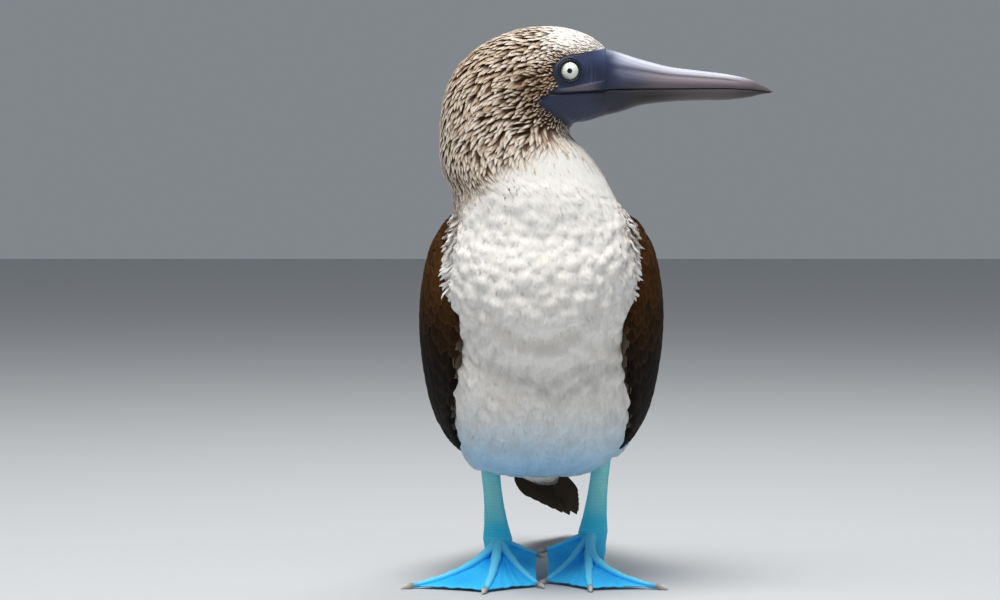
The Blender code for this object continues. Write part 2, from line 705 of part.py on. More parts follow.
def foot(side, joint, top):
    """Four toes joined by one web, a pad under the joint, and a claw butted on each toe."""
    out = 1 if side == "left" else -1
    wide = SHANK[-1][1]
    rows = [(*top, wide, wide * 1.06), (*(top * 0.4 + joint * 0.6), 9.4, 9.6), (*joint, 9.6, 9.4),
            (joint[0], joint[1] + 1, joint[2] * 0.4 + FLOOR * 0.6, 8.6, 8.8),
            (joint[0], joint[1] + 1.5, FLOOR + 2.5, 7.4, 7.6), (joint[0], joint[1] + 1.5, FLOOR, 6.0, 6.2)]
    pieces = [stack("pad", rows, 12)]
    lines = []
    for x, y, bulge, high, thick, thin in TOES[side]:
        tip = vec(joint[0] + out * x, joint[1] + y, FLOOR + high + thin * 0.86)
        across = unit(vec(-(tip - joint)[1], (tip - joint)[0], 0)) * -out
        points, radii = [], []
        for s in (0.0, 0.14, 0.32, 0.54, 0.78, 1.0):
            p = joint * (1 - s) + tip * s + across * bulge * np.linalg.norm(tip - joint) * 4 * s * (1 - s)
            radius = thick * (1 - s) + thin * s
            p[2] = tip[2] + (joint[2] - tip[2]) * (1 - s) ** 1.35 + (radius - thin) * s
            points.append(p)
            radii.append(radius)
        lines.append(points)
        pieces.append(tube("toe", points, radii, 8))
        claw(side, len(lines), points, radii)
    pieces.append(web(lines))
    finish(fuse("foot_" + side, pieces), "web", 0.45)


def web(lines):
    """The skin slung from toe to toe, with its free edge drawn in."""
    top, across = [], 4
    for s in (0.1, 0.26, 0.44, 0.62, 0.8, 0.97):
        row = []
        for one, two in zip(lines, lines[1:]):
            for k in range(across):
                u = k / across
                pull = s - 0.03 * s * s * math.sin(math.pi * u)
                p = polyline(one, pull) * (1 - u) + polyline(two, pull) * u
                p[2] = max(p[2] - 1.8 * math.sin(math.pi * u) * (1 - s), FLOOR + WEB_THICK + 0.5)
                row.append(p)
        row.append(polyline(lines[-1], s))
        top.append(row)
    return slab("web", top, [[p - vec(0, 0, WEB_THICK) for p in row] for row in top])


def polyline(points, s):
    place = min(max(s, 0.0), 0.9999) * (len(points) - 1)
    i = int(place)
    return points[i] * (1 - (place - i)) + points[i + 1] * (place - i)


def claw(side, number, points, radii):
    """A short curved claw that starts square to the end of its toe."""
    ahead = unit(points[-1] - points[-2])
    level = unit(vec(ahead[0], ahead[1], 0))
    length = HALLUX_CLAW if number == 1 else CLAW_LENGTH
    start = points[-1] + ahead * GAP
    root = start + ahead * length * 0.25
    r = radii[-1]
    path = [start, root, root + level * length * 0.3 + vec(0, 0, 0.1),
            root + level * length * 0.57 - vec(0, 0, 0.5), root + level * length * 0.75 - vec(0, 0, 1.1)]
    finish(tube(f"claw_{side}_{number}", path, [r * 0.86, r * 0.82, r * 0.66, r * 0.42, r * 0.2], 8), "claw", 0.4)


def centre_on_floor():
    """Moves the whole bird so that the origin is under the middle of its box."""
    objects = [o for o in bpy.context.scene.objects if o.type == "MESH"]
    corners = np.array([v.co for o in objects for v in o.data.vertices])
    low, high = corners.min(0), corners.max(0)
    shift = -(low + high) / 2
    shift[2] = -low[2]
    for o in objects:
        bm = bmesh.new()
        bm.from_mesh(o.data)
        bmesh.ops.translate(bm, vec=tuple(shift), verts=bm.verts)
        bm.to_mesh(o.data)
        bm.free()


def main():
    for obj in list(bpy.data.objects):
        bpy.data.objects.remove(obj)
    torso()
    neck()
    head_parts()
    bill()
    wings()
    tail()
    legs_and_feet()
    centre_on_floor()


main()
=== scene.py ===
"""A blue-footed booby in life size: standing still, wings folded, head turned over its left shoulder.

Shapes are worked out in the bird's own millimetres (breast facing -Y, bill along +X) and moved
into the frame of the solids by placed().
"""

import math

import bmesh
import bpy
import numpy as np
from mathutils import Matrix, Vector


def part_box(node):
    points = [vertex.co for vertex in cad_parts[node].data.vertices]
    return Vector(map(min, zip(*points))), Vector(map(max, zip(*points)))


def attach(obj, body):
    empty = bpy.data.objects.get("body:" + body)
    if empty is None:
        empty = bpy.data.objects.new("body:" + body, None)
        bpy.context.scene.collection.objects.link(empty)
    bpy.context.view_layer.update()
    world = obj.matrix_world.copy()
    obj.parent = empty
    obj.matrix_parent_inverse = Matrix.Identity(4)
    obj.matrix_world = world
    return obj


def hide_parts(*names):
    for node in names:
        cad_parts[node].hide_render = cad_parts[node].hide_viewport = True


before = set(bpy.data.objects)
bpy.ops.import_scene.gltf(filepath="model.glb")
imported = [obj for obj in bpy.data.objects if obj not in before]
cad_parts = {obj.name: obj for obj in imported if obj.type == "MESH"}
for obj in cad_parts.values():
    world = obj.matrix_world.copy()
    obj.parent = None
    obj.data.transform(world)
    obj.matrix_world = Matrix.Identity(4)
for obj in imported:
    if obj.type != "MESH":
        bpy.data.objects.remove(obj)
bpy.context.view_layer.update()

MM = 0.001
rng = np.random.default_rng(11)
TAU = 2 * math.pi
UP = np.array([0, 0, 1.0])

# The right eyeball's centre in the bird's own measure ties that measure to the solids.
EYE = np.array([13.6, -51.0, 313.0])
eye_low, eye_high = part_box("eye_right")
SHIFT = (np.array(eye_low) + np.array(eye_high)) / 2 / MM - EYE
HEAD_Y = -36.0
TRUNK_X = -3.0
FLOOR = -9.0

# Trunk, from tail root to neck: belly side (y, z), back (y, z), half width, fullness of the belly's corners
TRUNK = [
    ((146, 46), (160, 74), 17, 0), ((116, 47), (142, 88), 29, 0.05), ((82, 51), (122, 108), 41, 0.12),
    ((42, 55), (98, 138), 50, 0.16), ((0, 61), (74, 164), 54.5, 0.16), ((-38, 75), (54, 184), 56.5, 0.12),
    ((-59, 103), (38, 199), 58, 0.06), ((-62.5, 131), (26, 209), 59, 0.03), ((-85, 159), (16, 217), 60, 0.02),
    ((-90, 187), (8, 223), 59, 0), ((-82, 211), (0, 230), 55.5, 0),
]
# Neck and head: throat side (x, z), nape side (x, z), half thickness
NECK = [
    ((44, 232), (-58, 237), 43), ((35, 248), (-64, 251), 38.5), ((25.5, 262), (-65.8, 266), 35),
    ((15.5, 272.5), (-65.2, 282), 32), ((14.5, 276.5), (-62.5, 299), 30),
    ((15.5, 279), (-54, 316.5), 28.5), ((17, 280.7), (-38, 330), 27.5),
    ((19, 281.3), (-16, 338.8), 26.3), ((22, 281.7), (6, 340.5), 24.5), ((28, 283), (24, 336), 21),
    ((36, 285.5), (36.5, 328), 16.5),
]
NAPE_ROW = len(TRUNK)
LAST_ROW = len(TRUNK) + len(NECK) - 1
FACE_EDGE = [
    (37.5, 332), (36.5, 327.6), (27, 325), (17, 322.5), (10.5, 320.6), (5.9, 316.5),
    (4.9, 311), (8.6, 304.5), (3, 299.5), (-3.8, 294), (4.4, 287.6), (13, 281.8), (17, 276),
]
# Bill: x, ridge z, mouth z, lower edge z, half width
BILL = [
    (34.8, 328.0, 300.9, 285.9, 16.4), (40, 326.4, 301.5, 286.9, 14.2), (47, 324.1, 301.9, 288.7, 12.5),
    (59, 320.3, 302.1, 292.4, 10.7),
    (76, 316.0, 302.2, 294.4, 8.9), (94, 313.6, 302.3, 295.2, 7.4), (111, 311.5, 302.4, 295.5, 6.2),
    (124, 308.8, 301.7, 297.0, 4.8), (131, 305.9, 300.9, 298.6, 3.4), (136.5, 303.0, 300.2, 299.6, 2.0),
    (139.9, 300.4, 299.9, 299.8, 0.5),
]
# Folded left wing: lower edge, middle and upper edge (x, y, z), from shoulder to tip
WING = [
    ((53, -34, 215), (59, -26, 222), (44, -8, 226)), ((59, -42, 196), (69, -20, 203), (41, 20, 219)),
    ((51, -56, 158), (75, -4, 172), (32, 52, 198)), ((50, -46, 124), (74, 24, 140), (23, 82, 170)),
    ((54, -10, 93), (67, 58, 110), (15, 110, 137)), ((49, 46, 70), (56, 97, 86), (9, 136, 107)),
    ((36, 104, 60), (41, 137, 72), (5.5, 161, 85)), ((23, 160, 52), (25, 181, 59), (4, 192, 67)),
    ((13.5, 210, 38), (14.5, 224, 43), (3, 229, 48)), ((7.5, 255, 25), (7.5, 260, 28), (3, 263, 31)),
]
TAIL_ROOT = (-10.0, 152.0, 58.5)
TAIL_LENGTH = 126.0
TAIL_DROP = math.radians(26)
TAIL_SWING = math.radians(15)
TAIL_REACH = [1.0, 0.93, 0.84, 0.745, 0.65, 0.56]
LEGS = {
    "left": {"ankle": (37.5, 66, 67), "joint": (31.0, 42, 19)},
    "right": {"ankle": (-35.5, 60, 59), "joint": (-30.5, 34, 15)},
}
# Thigh feathers: height over the ankle, x inwards, y, half width, half depth
THIGH = [(56, 5, -40, 12, 13), (40, 1.5, -30, 18, 19), (24, 0, -17, 19.5, 18), (11, 0, -7, 17, 15),
         (4, 0, -2, 13.5, 12.5), (0.3, 0, 0, 10, 10)]
SHANK = [(0.0, 6.2), (0.3, 5.9), (0.55, 6.4), (0.8, 7.7), (1.0, 9.4), (1.15, 10.2)]
# Toes from the joint: tip x outwards, tip y, outward bulge, tip height, radius at root and at tip
TOES = {
    "left": [(-31, -9, 0.02, 15, 3.6, 2.0), (-31.5, -50, -0.03, 0, 4.6, 2.3),
             (-4, -86, 0.02, 0, 5.0, 2.5), (38.5, -78, 0.2, 0, 4.6, 2.3)],
    "right": [(-26, -10, 0.02, 13, 3.6, 2.0), (-26, -60, -0.03, 0, 4.6, 2.3),
              (8, -88, 0.02, 0, 5.0, 2.5), (54, -66, 0.13, 0, 4.6, 2.3)],
}
# Places of the knuckles along each toe
KNUCKLES = [(0.5,), (0.42, 0.74), (0.36, 0.6, 0.8), (0.3, 0.5, 0.68, 0.84)]
CLAW_LENGTH = 6.8
HIND_CLAW = 5.0


def linear(hexa):
    """sRGB hex to linear red, green and blue."""
    values = [int(hexa[i:i + 2], 16) / 255 for i in (0, 2, 4)]
    return np.array([v / 12.92 if v <= 0.04045 else ((v + 0.055) / 1.055) ** 2.4 for v in values])


WHITE = linear("eeebe6")
CREAM = linear("f0e4d4")
BUFF = linear("cfb494")
TAN = linear("94734f")
UMBER = linear("523824")
WING_WARM = linear("4a2e12")
WING_BROWN = linear("26180a")
WING_DARK = linear("0c0806")
WING_EDGE = linear("7d6245")
WING_PALE = linear("8b7a68")
TAIL_DARK = linear("090807")
SLATE = linear("2b3454")
SLATE_DARK = linear("1e2233")
SLATE_PALE = linear("4a5a84")
HORN_BLUE = linear("62667f")
# Painted highlight along the ridge of the bill
RIDGE_HIGHLIGHT = linear("d6daea")
HORN_GREY = linear("7c7178")
HORN_DARK = linear("2e2728")
TURQUOISE = linear("48def2")
# Painted highlight on the lit front of the legs
STRAW_HIGHLIGHT = linear("bcf8ec")
AZURE = linear("34c2ff")
COBALT = linear("109ef4")
TOE_PALE = linear("7ce2fb")
TOE_GREY = linear("5f7f93")
CLAW_PALE = linear("c4bcb0")
CLAW_DARK = linear("7d746c")
IRIS = linear("f0f4ea")
IRIS_SPOKES = linear("c4cfc4")
IRIS_RIM = linear("848f86")
PUPIL = linear("050609")
EYE_DARK = linear("0a0c12")
# Blue light from the feet on the belly
BOUNCE = linear("56b2de")


def placed(points):
    """From the bird's own mm to metres in the frame."""
    return (np.asarray(points, float) + SHIFT) * MM


def fade(x, low, high):
    """0 below low, 1 above high, smooth between."""
    x = np.clip((np.asarray(x, float) - low) / (high - low), 0, 1)
    return x * x * (3 - 2 * x)


def mix(one, two, share):
    share = np.asarray(share, float)[..., None]
    return np.asarray(one) * (1 - share) + np.asarray(two) * share


def layered(colour, *layers):
    """A colour under layers of (colour, share), the last one on top."""
    for over, share in layers:
        colour = mix(colour, over, share)
    return colour


def curve(rows, t):
    """Catmull-Rom curve through equally spaced rows, for any array of places t."""
    rows, t = np.asarray(rows, float), np.asarray(t, float)
    last = len(rows) - 1
    i = np.clip(np.floor(t).astype(int), 0, last - 1)
    f = (t - i)[..., None]
    p1, p2 = rows[i], rows[i + 1]
    p0 = np.where((i > 0)[..., None], rows[np.maximum(i - 1, 0)], 2 * p1 - p2)
    p3 = np.where((i + 2 <= last)[..., None], rows[np.minimum(i + 2, last)], 2 * p2 - p1)
    return 0.5 * (2 * p1 + (p2 - p0) * f + (2 * p0 - 5 * p1 + 4 * p2 - p3) * f * f
                  + (3 * p1 - p0 - 3 * p2 + p3) * f ** 3)


def unit(v):
    return v / np.maximum(np.linalg.norm(v, axis=-1, keepdims=True), 1e-9)


def size_of(v):
    return np.linalg.norm(v, axis=-1)


def bell(x, middle, width):
    """1 at the middle, falling off smoothly to both sides."""
    return np.exp(-((x - middle) / width) ** 2)


def sine(x):
    """A sine that runs from 0 to 1."""
    return 0.5 + 0.5 * np.sin(x)


def folded(v):
    """A sheet folded in two: whether v is on its top, and how far along the sheet it lies."""
    top = v < 0.5
    return top, np.where(top, v * 2, 2 - v * 2)


def ring(centre, wide, deep, turn):
    """Points round an upright tube."""
    x, y = centre[..., 0] + wide * np.cos(turn), centre[..., 1] + deep * np.sin(turn)
    return np.stack([x, y, centre[..., 2]], -1)


def even(size):
    """The same room for every feather of a scatter()."""
    return lambda a, b: size + 0 * a


def steps(surface, a, b, e):
    """The way a surface goes over a small step 2e in a, and over one in b."""
    return surface(a + e, b) - surface(a - e, b), surface(a, b + e) - surface(a, b - e)


def pace(surface, a, b, da=0.0, db=0.0):
    """How many mm a surface goes for 1 in a or in b, measured over da or db either way."""
    return size_of(surface(a + da, b + db) - surface(a - da, b - db)) / (2 * (da + db))


def body_rows():
    """Rows of the body: centre, reach to the left, right, front and back, and fullness."""
    rows = []
    for (fy, fz), (by, bz), half, full in TRUNK:
        front, back = np.array([TRUNK_X, fy, fz]), np.array([TRUNK_X, by, bz])
        centre = (front + back) / 2
        sides = [(half, 0, 0), (-half, 0, 0)]
        rows.append(np.concatenate([centre, *sides, front - centre, back - centre, (full,)]))
    for (tx, tz), (nx, nz), half in NECK:
        throat, nape = np.array([tx, HEAD_Y, tz]), np.array([nx, HEAD_Y, nz])
        centre = (throat + nape) / 2
        sides = [(0, -half, 0), (0, half, 0)]
        rows.append(np.concatenate([centre, throat - centre, nape - centre, *sides, (0,)]))
    return np.array(rows)


BODY_ROWS = body_rows()


def lifted(surface):
    """A surface(a, b) that also takes a height over itself."""
    def with_height(a, b, lift=0.0, e=0.012):
        a, b = np.broadcast_arrays(np.asarray(a, float), np.asarray(b, float))
        point = surface(a, b)
        if np.all(np.asarray(lift) == 0):
            return point
        normal = unit(np.cross(*steps(surface, a, b, e)))
        return point + np.asarray(lift)[..., None] * normal
    return with_height


@lifted
def body(t, angle):
    """The body's outline.

    t counts rows from the tail root; angle 0 is the bird's left, TAU / 4 the front.
    """
    row = curve(BODY_ROWS, t)
    c, s = np.cos(angle)[..., None], np.sin(angle)[..., None]
    across = np.where(c > 0, row[..., 3:6], row[..., 6:9]) * np.abs(c)
    deep = np.where(s > 0, row[..., 9:12], row[..., 12:15]) * np.abs(s)
    full = 1 + row[..., 15:16] * (2 * s * c) ** 2 * (s > 0)
    return row[..., 0:3] + (across + deep) * full


WING_ROWS = np.array([np.concatenate(row) for row in WING], float)
ROLL_FROM = 0.06


def wing_surface(side):
    """The outside of a folded wing; a runs from shoulder to tip in rows, b from lower to upper edge.

    Below ROLL_FROM the edge rolls inwards to the body.
    """
    def sheet(a, b):
        row = curve(WING_ROWS, a)
        b = np.broadcast_to(b, np.shape(a))[..., None]
        p = (row[..., 0:3] * (1 - b) * (1 - 2 * b) + row[..., 3:6] * 4 * b * (1 - b)
             + row[..., 6:9] * b * (2 * b - 1))
        return p * (side, 1, 1) + (TRUNK_X, 0, 0)

    def surface(a, b):
        e = 0.012
        run, rise = steps(sheet, a, ROLL_FROM, e)
        out = unit(np.cross(run, rise)) * side
        bend = np.interp(a, [0, 6, 9], [4.5, 3.0, 0.8])[..., None]
        past_edge = np.maximum(ROLL_FROM - b, 0)[..., None]
        turn = past_edge * size_of(rise)[..., None] / (2 * e) / bend
        roll = unit(rise) * np.sin(turn) + out * (1 - np.cos(turn))
        return sheet(a, np.maximum(b, ROLL_FROM)) - bend * roll

    def ordered(a, b, lift=0.0):
        return lifted(surface)(a, b, side * np.asarray(lift, float))
    return ordered


@lifted
def tail_fan(a, b):
    """The tail: a from root 0 to tip 1, b as an angle across the fan."""
    out = TAIL_LENGTH * a
    side = 0.3 * out * np.sin(b) + 95.0 * b
    back = out * np.cos(b)
    x = side * math.cos(TAIL_SWING) + back * math.sin(TAIL_SWING)
    y = back * math.cos(TAIL_SWING) - side * math.sin(TAIL_SWING)
    z = -0.0022 * side * side
    c, s = math.cos(TAIL_DROP), math.sin(TAIL_DROP)
    return np.stack([TAIL_ROOT[0] + x, TAIL_ROOT[1] + y * c + z * s, TAIL_ROOT[2] - y * s + z * c], -1)


def above_tail(a, b, lift=0.0):
    return tail_fan(a, b, -np.asarray(lift, float))


def edge_distance(x, z):
    """How far (x, z) lies inside the bare face, in mm; negative outside it."""
    edge = np.array(FACE_EDGE + [(60, 270), (60, 340)], float)
    point = np.stack([np.asarray(x, float), np.asarray(z, float)], -1)[..., None, :]
    start, end = edge, np.roll(edge, -1, axis=0)
    way = end - start
    share = np.clip(((point - start) * way).sum(-1) / (way * way).sum(-1), 0, 1)
    gap = size_of(point - (start + share[..., None] * way)).min(-1)
    px, pz = point[..., 0], point[..., 1]
    crosses = (start[:, 1] > pz) != (end[:, 1] > pz)
    with np.errstate(divide="ignore", invalid="ignore"):
        at = start[:, 0] + (pz - start[:, 1]) / (end[:, 1] - start[:, 1]) * (end[:, 0] - start[:, 0])
    inside = (crosses & (px < at)).sum(-1) % 2 == 1
    return np.where(inside, gap, -gap)


# Materials

def add(tree, kind, inputs=None, **settings):
    """Adds a node; inputs are links or constants by socket name or number."""
    made = tree.nodes.new(kind)
    for name, value in settings.items():
        setattr(made, name, value)
    for name, value in (inputs or {}).items():
        if isinstance(value, bpy.types.NodeSocket):
            tree.links.new(value, made.inputs[name])
        else:
            made.inputs[name].default_value = value
    return made


def finish_material(name, colour, bumps=(), **shader):
    """A surface finish.

    colour is a linear colour or the name of a colour attribute. bumps lists noises as
    (size mm, depth mm, (stretch x, y, z)), with "vane" at the end where the noise follows
    each feather's own place in mm instead of the object.
    """
    material = bpy.data.materials.new(name)
    material.use_nodes = True
    tree = material.node_tree
    main = tree.nodes["Principled BSDF"]
    if isinstance(colour, str):
        painted = add(tree, "ShaderNodeAttribute", attribute_name=colour).outputs["Color"]
        tree.links.new(painted, main.inputs["Base Color"])
    else:
        main.inputs["Base Color"].default_value = (*colour, 1)
    normal = None
    for size, depth, stretch, *where in bumps:
        if where:
            place = add(tree, "ShaderNodeAttribute", attribute_name=where[0]).outputs["Vector"]
        else:
            place = add(tree, "ShaderNodeTexCoord").outputs["Object"]
            size = size * MM
        spread = add(tree, "ShaderNodeMapping", {0: place, 3: stretch}).outputs[0]
        height = add(tree, "ShaderNodeTexNoise", {"Vector": spread, "Scale": 1 / size,
                                                  "Detail": 3.0, "Roughness": 0.6}).outputs[0]
        bump = add(tree, "ShaderNodeBump", {"Height": height, "Distance": depth * MM, "Strength": 1.0})
        if normal is not None:
            tree.links.new(normal, bump.inputs["Normal"])
        normal = bump.outputs[0]
    if normal is not None:
        tree.links.new(normal, main.inputs["Normal"])
    for socket, value in shader.items():
        main.inputs[socket.replace("_", " ").title().replace("Ior", "IOR")].default_value = value
    return material


# Soft matt feathers of rump, belly, breast, thighs and tail root
down_feather = finish_material("soft body feathers", "plumage", bumps=[(0.45, 0.015, (1, 0.2, 1), "vane")],
                               roughness=0.9, specular_ior_level=0.12, sheen_weight=0.25, sheen_roughness=0.6)
# Head and neck feathers: narrow, a little silkier
neck_feather = finish_material("narrow neck feathers", "plumage", bumps=[(0.4, 0.02, (1, 0.2, 1), "vane")],
                               roughness=0.75, specular_ior_level=0.2, sheen_weight=0.1, sheen_roughness=0.5)
# Feathers of wings and tail: smooth with fine slanting barbs
wing_feather = finish_material("brown wing feathers", "plumage", roughness=0.75, specular_ior_level=0.05,
                               bumps=[(0.5, 0.03, (1, 0.12, 1), "vane"), (2.5, 0.1, (1, 1, 1))])
# Skin and cores under the feathers
skin_under = finish_material("skin under the feathers", "plumage", roughness=0.95, specular_ior_level=0.1)
# Bare leathery skin of face and lids
face_skin = finish_material("bare slate face skin", "plumage", roughness=0.45, specular_ior_level=0.4,
                            bumps=[(0.8, 0.12, (0.5, 1, 1.6)), (0.25, 0.05, (1, 1, 1))])
# Hard horn of the bill with a faint grain along it
bill_horn = finish_material("bill horn", "plumage", roughness=0.42, specular_ior_level=0.45,
                            bumps=[(1.0, 0.09, (0.1, 1, 1)), (0.35, 0.03, (0.3, 1, 1))])
# Eyeball with a wet, clear film
eye_wet = finish_material("wet eye", "plumage", roughness=0.2, specular_ior_level=0.4, coat_weight=0.4,
                          coat_roughness=0.02)
# Fine scales of shanks and foot pads
leg_scales = finish_material("scaled leg skin", "plumage", roughness=0.5, specular_ior_level=0.25,
                             bumps=[(0.8, 0.12, (1, 1, 0.8)), (0.3, 0.05, (1, 1, 1))])
# Soft skin of webs and toes
web_skin = finish_material("web skin", "plumage", roughness=0.5, specular_ior_level=0.22,
                           bumps=[(1.2, 0.12, (1, 1, 1)), (0.35, 0.05, (1, 1, 1))])
# Dull horn of the claws
claw_dull = finish_material("claw horn", "plumage", bumps=[(0.6, 0.04, (1, 1, 1))], roughness=0.4)


# Making and finishing pieces

def colour_mesh(mesh, colours, name="plumage"):
    colours = np.asarray(colours, np.float32)
    if colours.shape[-1] == 3:
        colours = np.concatenate([colours, np.ones((len(colours), 1), np.float32)], axis=-1)
    mesh.attributes.new(name, "FLOAT_COLOR", "POINT").data.foreach_set("color", colours.ravel())


def map_mesh(mesh, uv):
    """Writes the map that the finish is baked on, one place per vertex."""
    layer = mesh.uv_layers.new(name="OFBake")
    corners = np.zeros(len(mesh.loops), np.int32)
    mesh.loops.foreach_get("vertex_index", corners)
    layer.data.foreach_set("uv", np.asarray(uv, np.float32)[corners].ravel())


def in_scene(name, data):
    obj = bpy.data.objects.new(name, data)
    bpy.context.scene.collection.objects.link(obj)
    return obj


def install(name, mesh, material, replaces=()):
    obj = in_scene(name, mesh)
    mesh.materials.clear()
    mesh.materials.append(material)
    mesh.shade_smooth()
    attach(obj, "root")
    if replaces:
        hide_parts(*replaces)
    return obj


def grid_piece(name, across, along, place, paint, material, replaces=()):
    """A closed tube from a grid: place(u, v) puts its points and paint(u, v, points) colours them.

    u runs round the tube and v along it, both from 0 to 1.
    """
    bm = bmesh.new()
    bmesh.ops.create_grid(bm, x_segments=across, y_segments=along, size=0.5)
    uv = np.array([v.co[:2] for v in bm.verts]) + 0.5
    points = place(uv[:, 0], uv[:, 1])
    colours = paint(uv[:, 0], uv[:, 1], points)
    shade = bm.verts.layers.float_color.new("plumage")
    for vert, point, colour in zip(bm.verts, placed(points).tolist(), np.asarray(colours).tolist()):
        vert.co = point
        vert[shade] = (*colour[:3], 1)
    bmesh.ops.remove_doubles(bm, verts=bm.verts, dist=2e-7)
    bmesh.ops.holes_fill(bm, edges=bm.edges, sides=across + 2)
    bmesh.ops.recalc_face_normals(bm, faces=bm.faces)
    if bm.calc_volume(signed=True) < 0:
        bmesh.ops.reverse_faces(bm, faces=bm.faces)
    mesh = bpy.data.meshes.new(name)
    bm.to_mesh(mesh)
    bm.free()
    return install(name, mesh, material, replaces)


def lay(surface, start, end, half, rows, outline, lift, crown, columns=3, tilt=0.0, bend=0.0):
    """Lays feathers on a surface, each from its start to its end, as points of their upper side.

    start and end are places (a, b) and half the half widths in mm; outline(s) is the share of
    the width along the feather, lift(s) its height, crown the height of the shaft over the
    edges, tilt the rise across it and bend its sideways swing in mm.
    Returns points (feathers, rows, columns, 3) with the shares along and across.
    """
    s, u = np.linspace(0, 1, rows), np.linspace(-1, 1, columns)
    way = (end - start)[:, None, :]
    at = start[:, None, :] + way * s[None, :, None]
    scale = pace(surface, at[..., 0], at[..., 1], db=0.012)
    length = size_of(surface(at[:, -1, 0], at[:, -1, 1]) - surface(at[:, 0, 0], at[:, 0, 1]))
    length = np.maximum(length, 1e-6)[:, None]
    # A feather that runs aslant takes part of its width along a
    aslant = np.clip(way[..., 1] * scale / length, -0.95, 0.95)
    along_a = way[..., 0] / length
    swing = np.reshape(bend, (-1, 1)) * np.sin(np.pi * s)[None, :]
    across = swing[..., None] + u * (half[:, None] * outline(s)[None, :])[..., None]
    b = at[..., 1][..., None] + across * (np.sqrt(1 - aslant ** 2) / scale)[..., None]
    a = at[..., 0][..., None] - across * (aslant * along_a)[..., None]
    shape = outline(s)[:, None]
    high = np.broadcast_to(lift(s), (len(start), rows))[..., None] + tilt * u * shape
    high = high + np.reshape(crown, (-1, 1, 1)) * (1 - u ** 2) * shape
    return surface(a, b, high), s, u


def feather_piece(name, points, colours, uv, vane, material, replaces=()):
    """Joins feathers laid by lay() to one mesh, each closed underneath from edge to edge."""
    count, rows, columns = points.shape[:3]
    faces = []
    for r in range(rows - 1):
        one, two = r * columns, (r + 1) * columns
        faces += [(one + c, one + c + 1, two + c + 1, two + c) for c in range(columns - 1)]
        faces.append((one + columns - 1, one, two, two + columns - 1))
    faces.append(tuple(range(columns - 1, -1, -1)))
    faces.append(tuple((rows - 1) * columns + c for c in range(columns)))
    # The vanes face outwards if the first one's volume says so
    first = points[:8].reshape(-1, rows * columns, 3)
    volume = 0.0
    for face in faces:
        for k in range(1, len(face) - 1):
            around = np.cross(first[:, face[k]], first[:, face[k + 1]])
            volume += np.einsum("ij,ij->i", first[:, face[0]], around).sum()
    if volume < 0:
        faces = [tuple(reversed(face)) for face in faces]
    base = (np.arange(count) * rows * columns)[:, None]
    every = []
    for face in faces:
        every += (base + np.array(face)).tolist()
    mesh = bpy.data.meshes.new(name)
    mesh.from_pydata(placed(points.reshape(-1, 3)), [], every)
    mesh.update()
    colour_mesh(mesh, colours.reshape(-1, colours.shape[-1]))
    mesh.attributes.new("vane", "FLOAT_VECTOR", "POINT").data.foreach_set(
        "vector", np.asarray(vane, np.float32).reshape(-1, 3).ravel())
    map_mesh(mesh, uv.reshape(-1, 2))
    obj = install(name, mesh, material, replaces)
    # Each vane is shaded smooth over its face but keeps its thin rim
    mesh.set_sharp_from_angle(angle=math.radians(75))
    return obj


def patches(roots, s, u):
    """Baking places: a patch 0.003 across at each root's own place."""
    uv = np.zeros((len(roots), len(s), len(u), 2))
    uv[..., 0] = 0.002 + 0.994 * roots[:, None, None, 0] + 0.003 * (u[None, None, :] + 1) / 2
    uv[..., 1] = 0.002 + 0.994 * roots[:, None, None, 1] + 0.003 * s[None, :, None]
    return uv


def round_places(roots, last):
    """Places on the baking map of roots that go round a tube of rows up to last."""
    return np.stack([(roots[:, 1] / TAU) % 1.0, roots[:, 0] / last], -1)


def scatter(surface, a_from, a_to, columns, b_from, b_to, area, wobble=0.3):
    """Roots spread evenly over a surface in staggered files, each taking area(a, b) square mm."""
    found = []
    step = (b_to - b_from) / columns
    for j in range(columns):
        b = b_from + (j + 0.5) * step
        a = np.linspace(a_from, a_to, 900)
        spread = pace(surface, a, b, db=0.01) * step
        run = size_of(np.gradient(surface(a, np.full_like(a, b)), axis=0))
        credit = np.cumsum(spread * run / area(a, np.full_like(a, b)))
        wanted = np.arange(0.25 + 0.5 * (j % 2), credit[-1], 1.0)
        wanted = wanted + rng.uniform(-0.5, 0.5, len(wanted)) * wobble
        place = np.interp(wanted, credit, a)
        found.append(np.stack([place, b + rng.uniform(-0.5, 0.5, len(place)) * step * wobble * 1.6], -1))
    return np.concatenate(found)


def ends_on_body(roots, lengths, flow):
    """Where feathers of these lengths end when they follow flow over the body."""
    e = 0.01
    along, across = (way / (2 * e) for way in steps(body, roots[:, 0], roots[:, 1], e))
    uu, vv, uv = (along * along).sum(-1), (across * across).sum(-1), (along * across).sum(-1)
    fu, fv = (flow * along).sum(-1), (flow * across).sum(-1)
    det = uu * vv - uv * uv
    da, db = (fu * vv - fv * uv) / det, (fv * uu - fu * uv) / det
    size = size_of(da[:, None] * along + db[:, None] * across)
    return roots + np.stack([da, db], -1) / size[:, None] * lengths[:, None]


def body_flow(roots):
    """The lie of the body feathers: tailwards, and from the bill back and down over the head."""
    a, b, e = roots[:, 0], roots[:, 1], 0.01
    point = body(a, b)
    tailwards = unit(body(a - e, b) - body(a + e, b))
    slope = np.interp(point[:, 0], [-66, -50, -30, 0, 20], [80, 58, 30, 12, 5])
    slope = np.maximum(slope, 84 * fade(-point[:, 2], -292, -262))
    # Neighbours lie together in slow waves, so that streaks run over the head
    x, z = point[:, 0], point[:, 2]
    wave = np.sin(0.31 * x + 0.12 * z) + np.sin(0.23 * z - 0.17 * x + 1.3)
    slope = np.radians(slope + 8 * wave + rng.normal(0, 6, len(a)))
    back = np.stack([-np.cos(slope), np.zeros(len(a)), -np.sin(slope)], -1)
    share = fade(a, NAPE_ROW + 0.6, NAPE_ROW + 2.4)[:, None]
    flow = tailwards * (1 - share) + back * share
    return unit(flow + rng.normal(0, 0.13, (len(a), 3)))


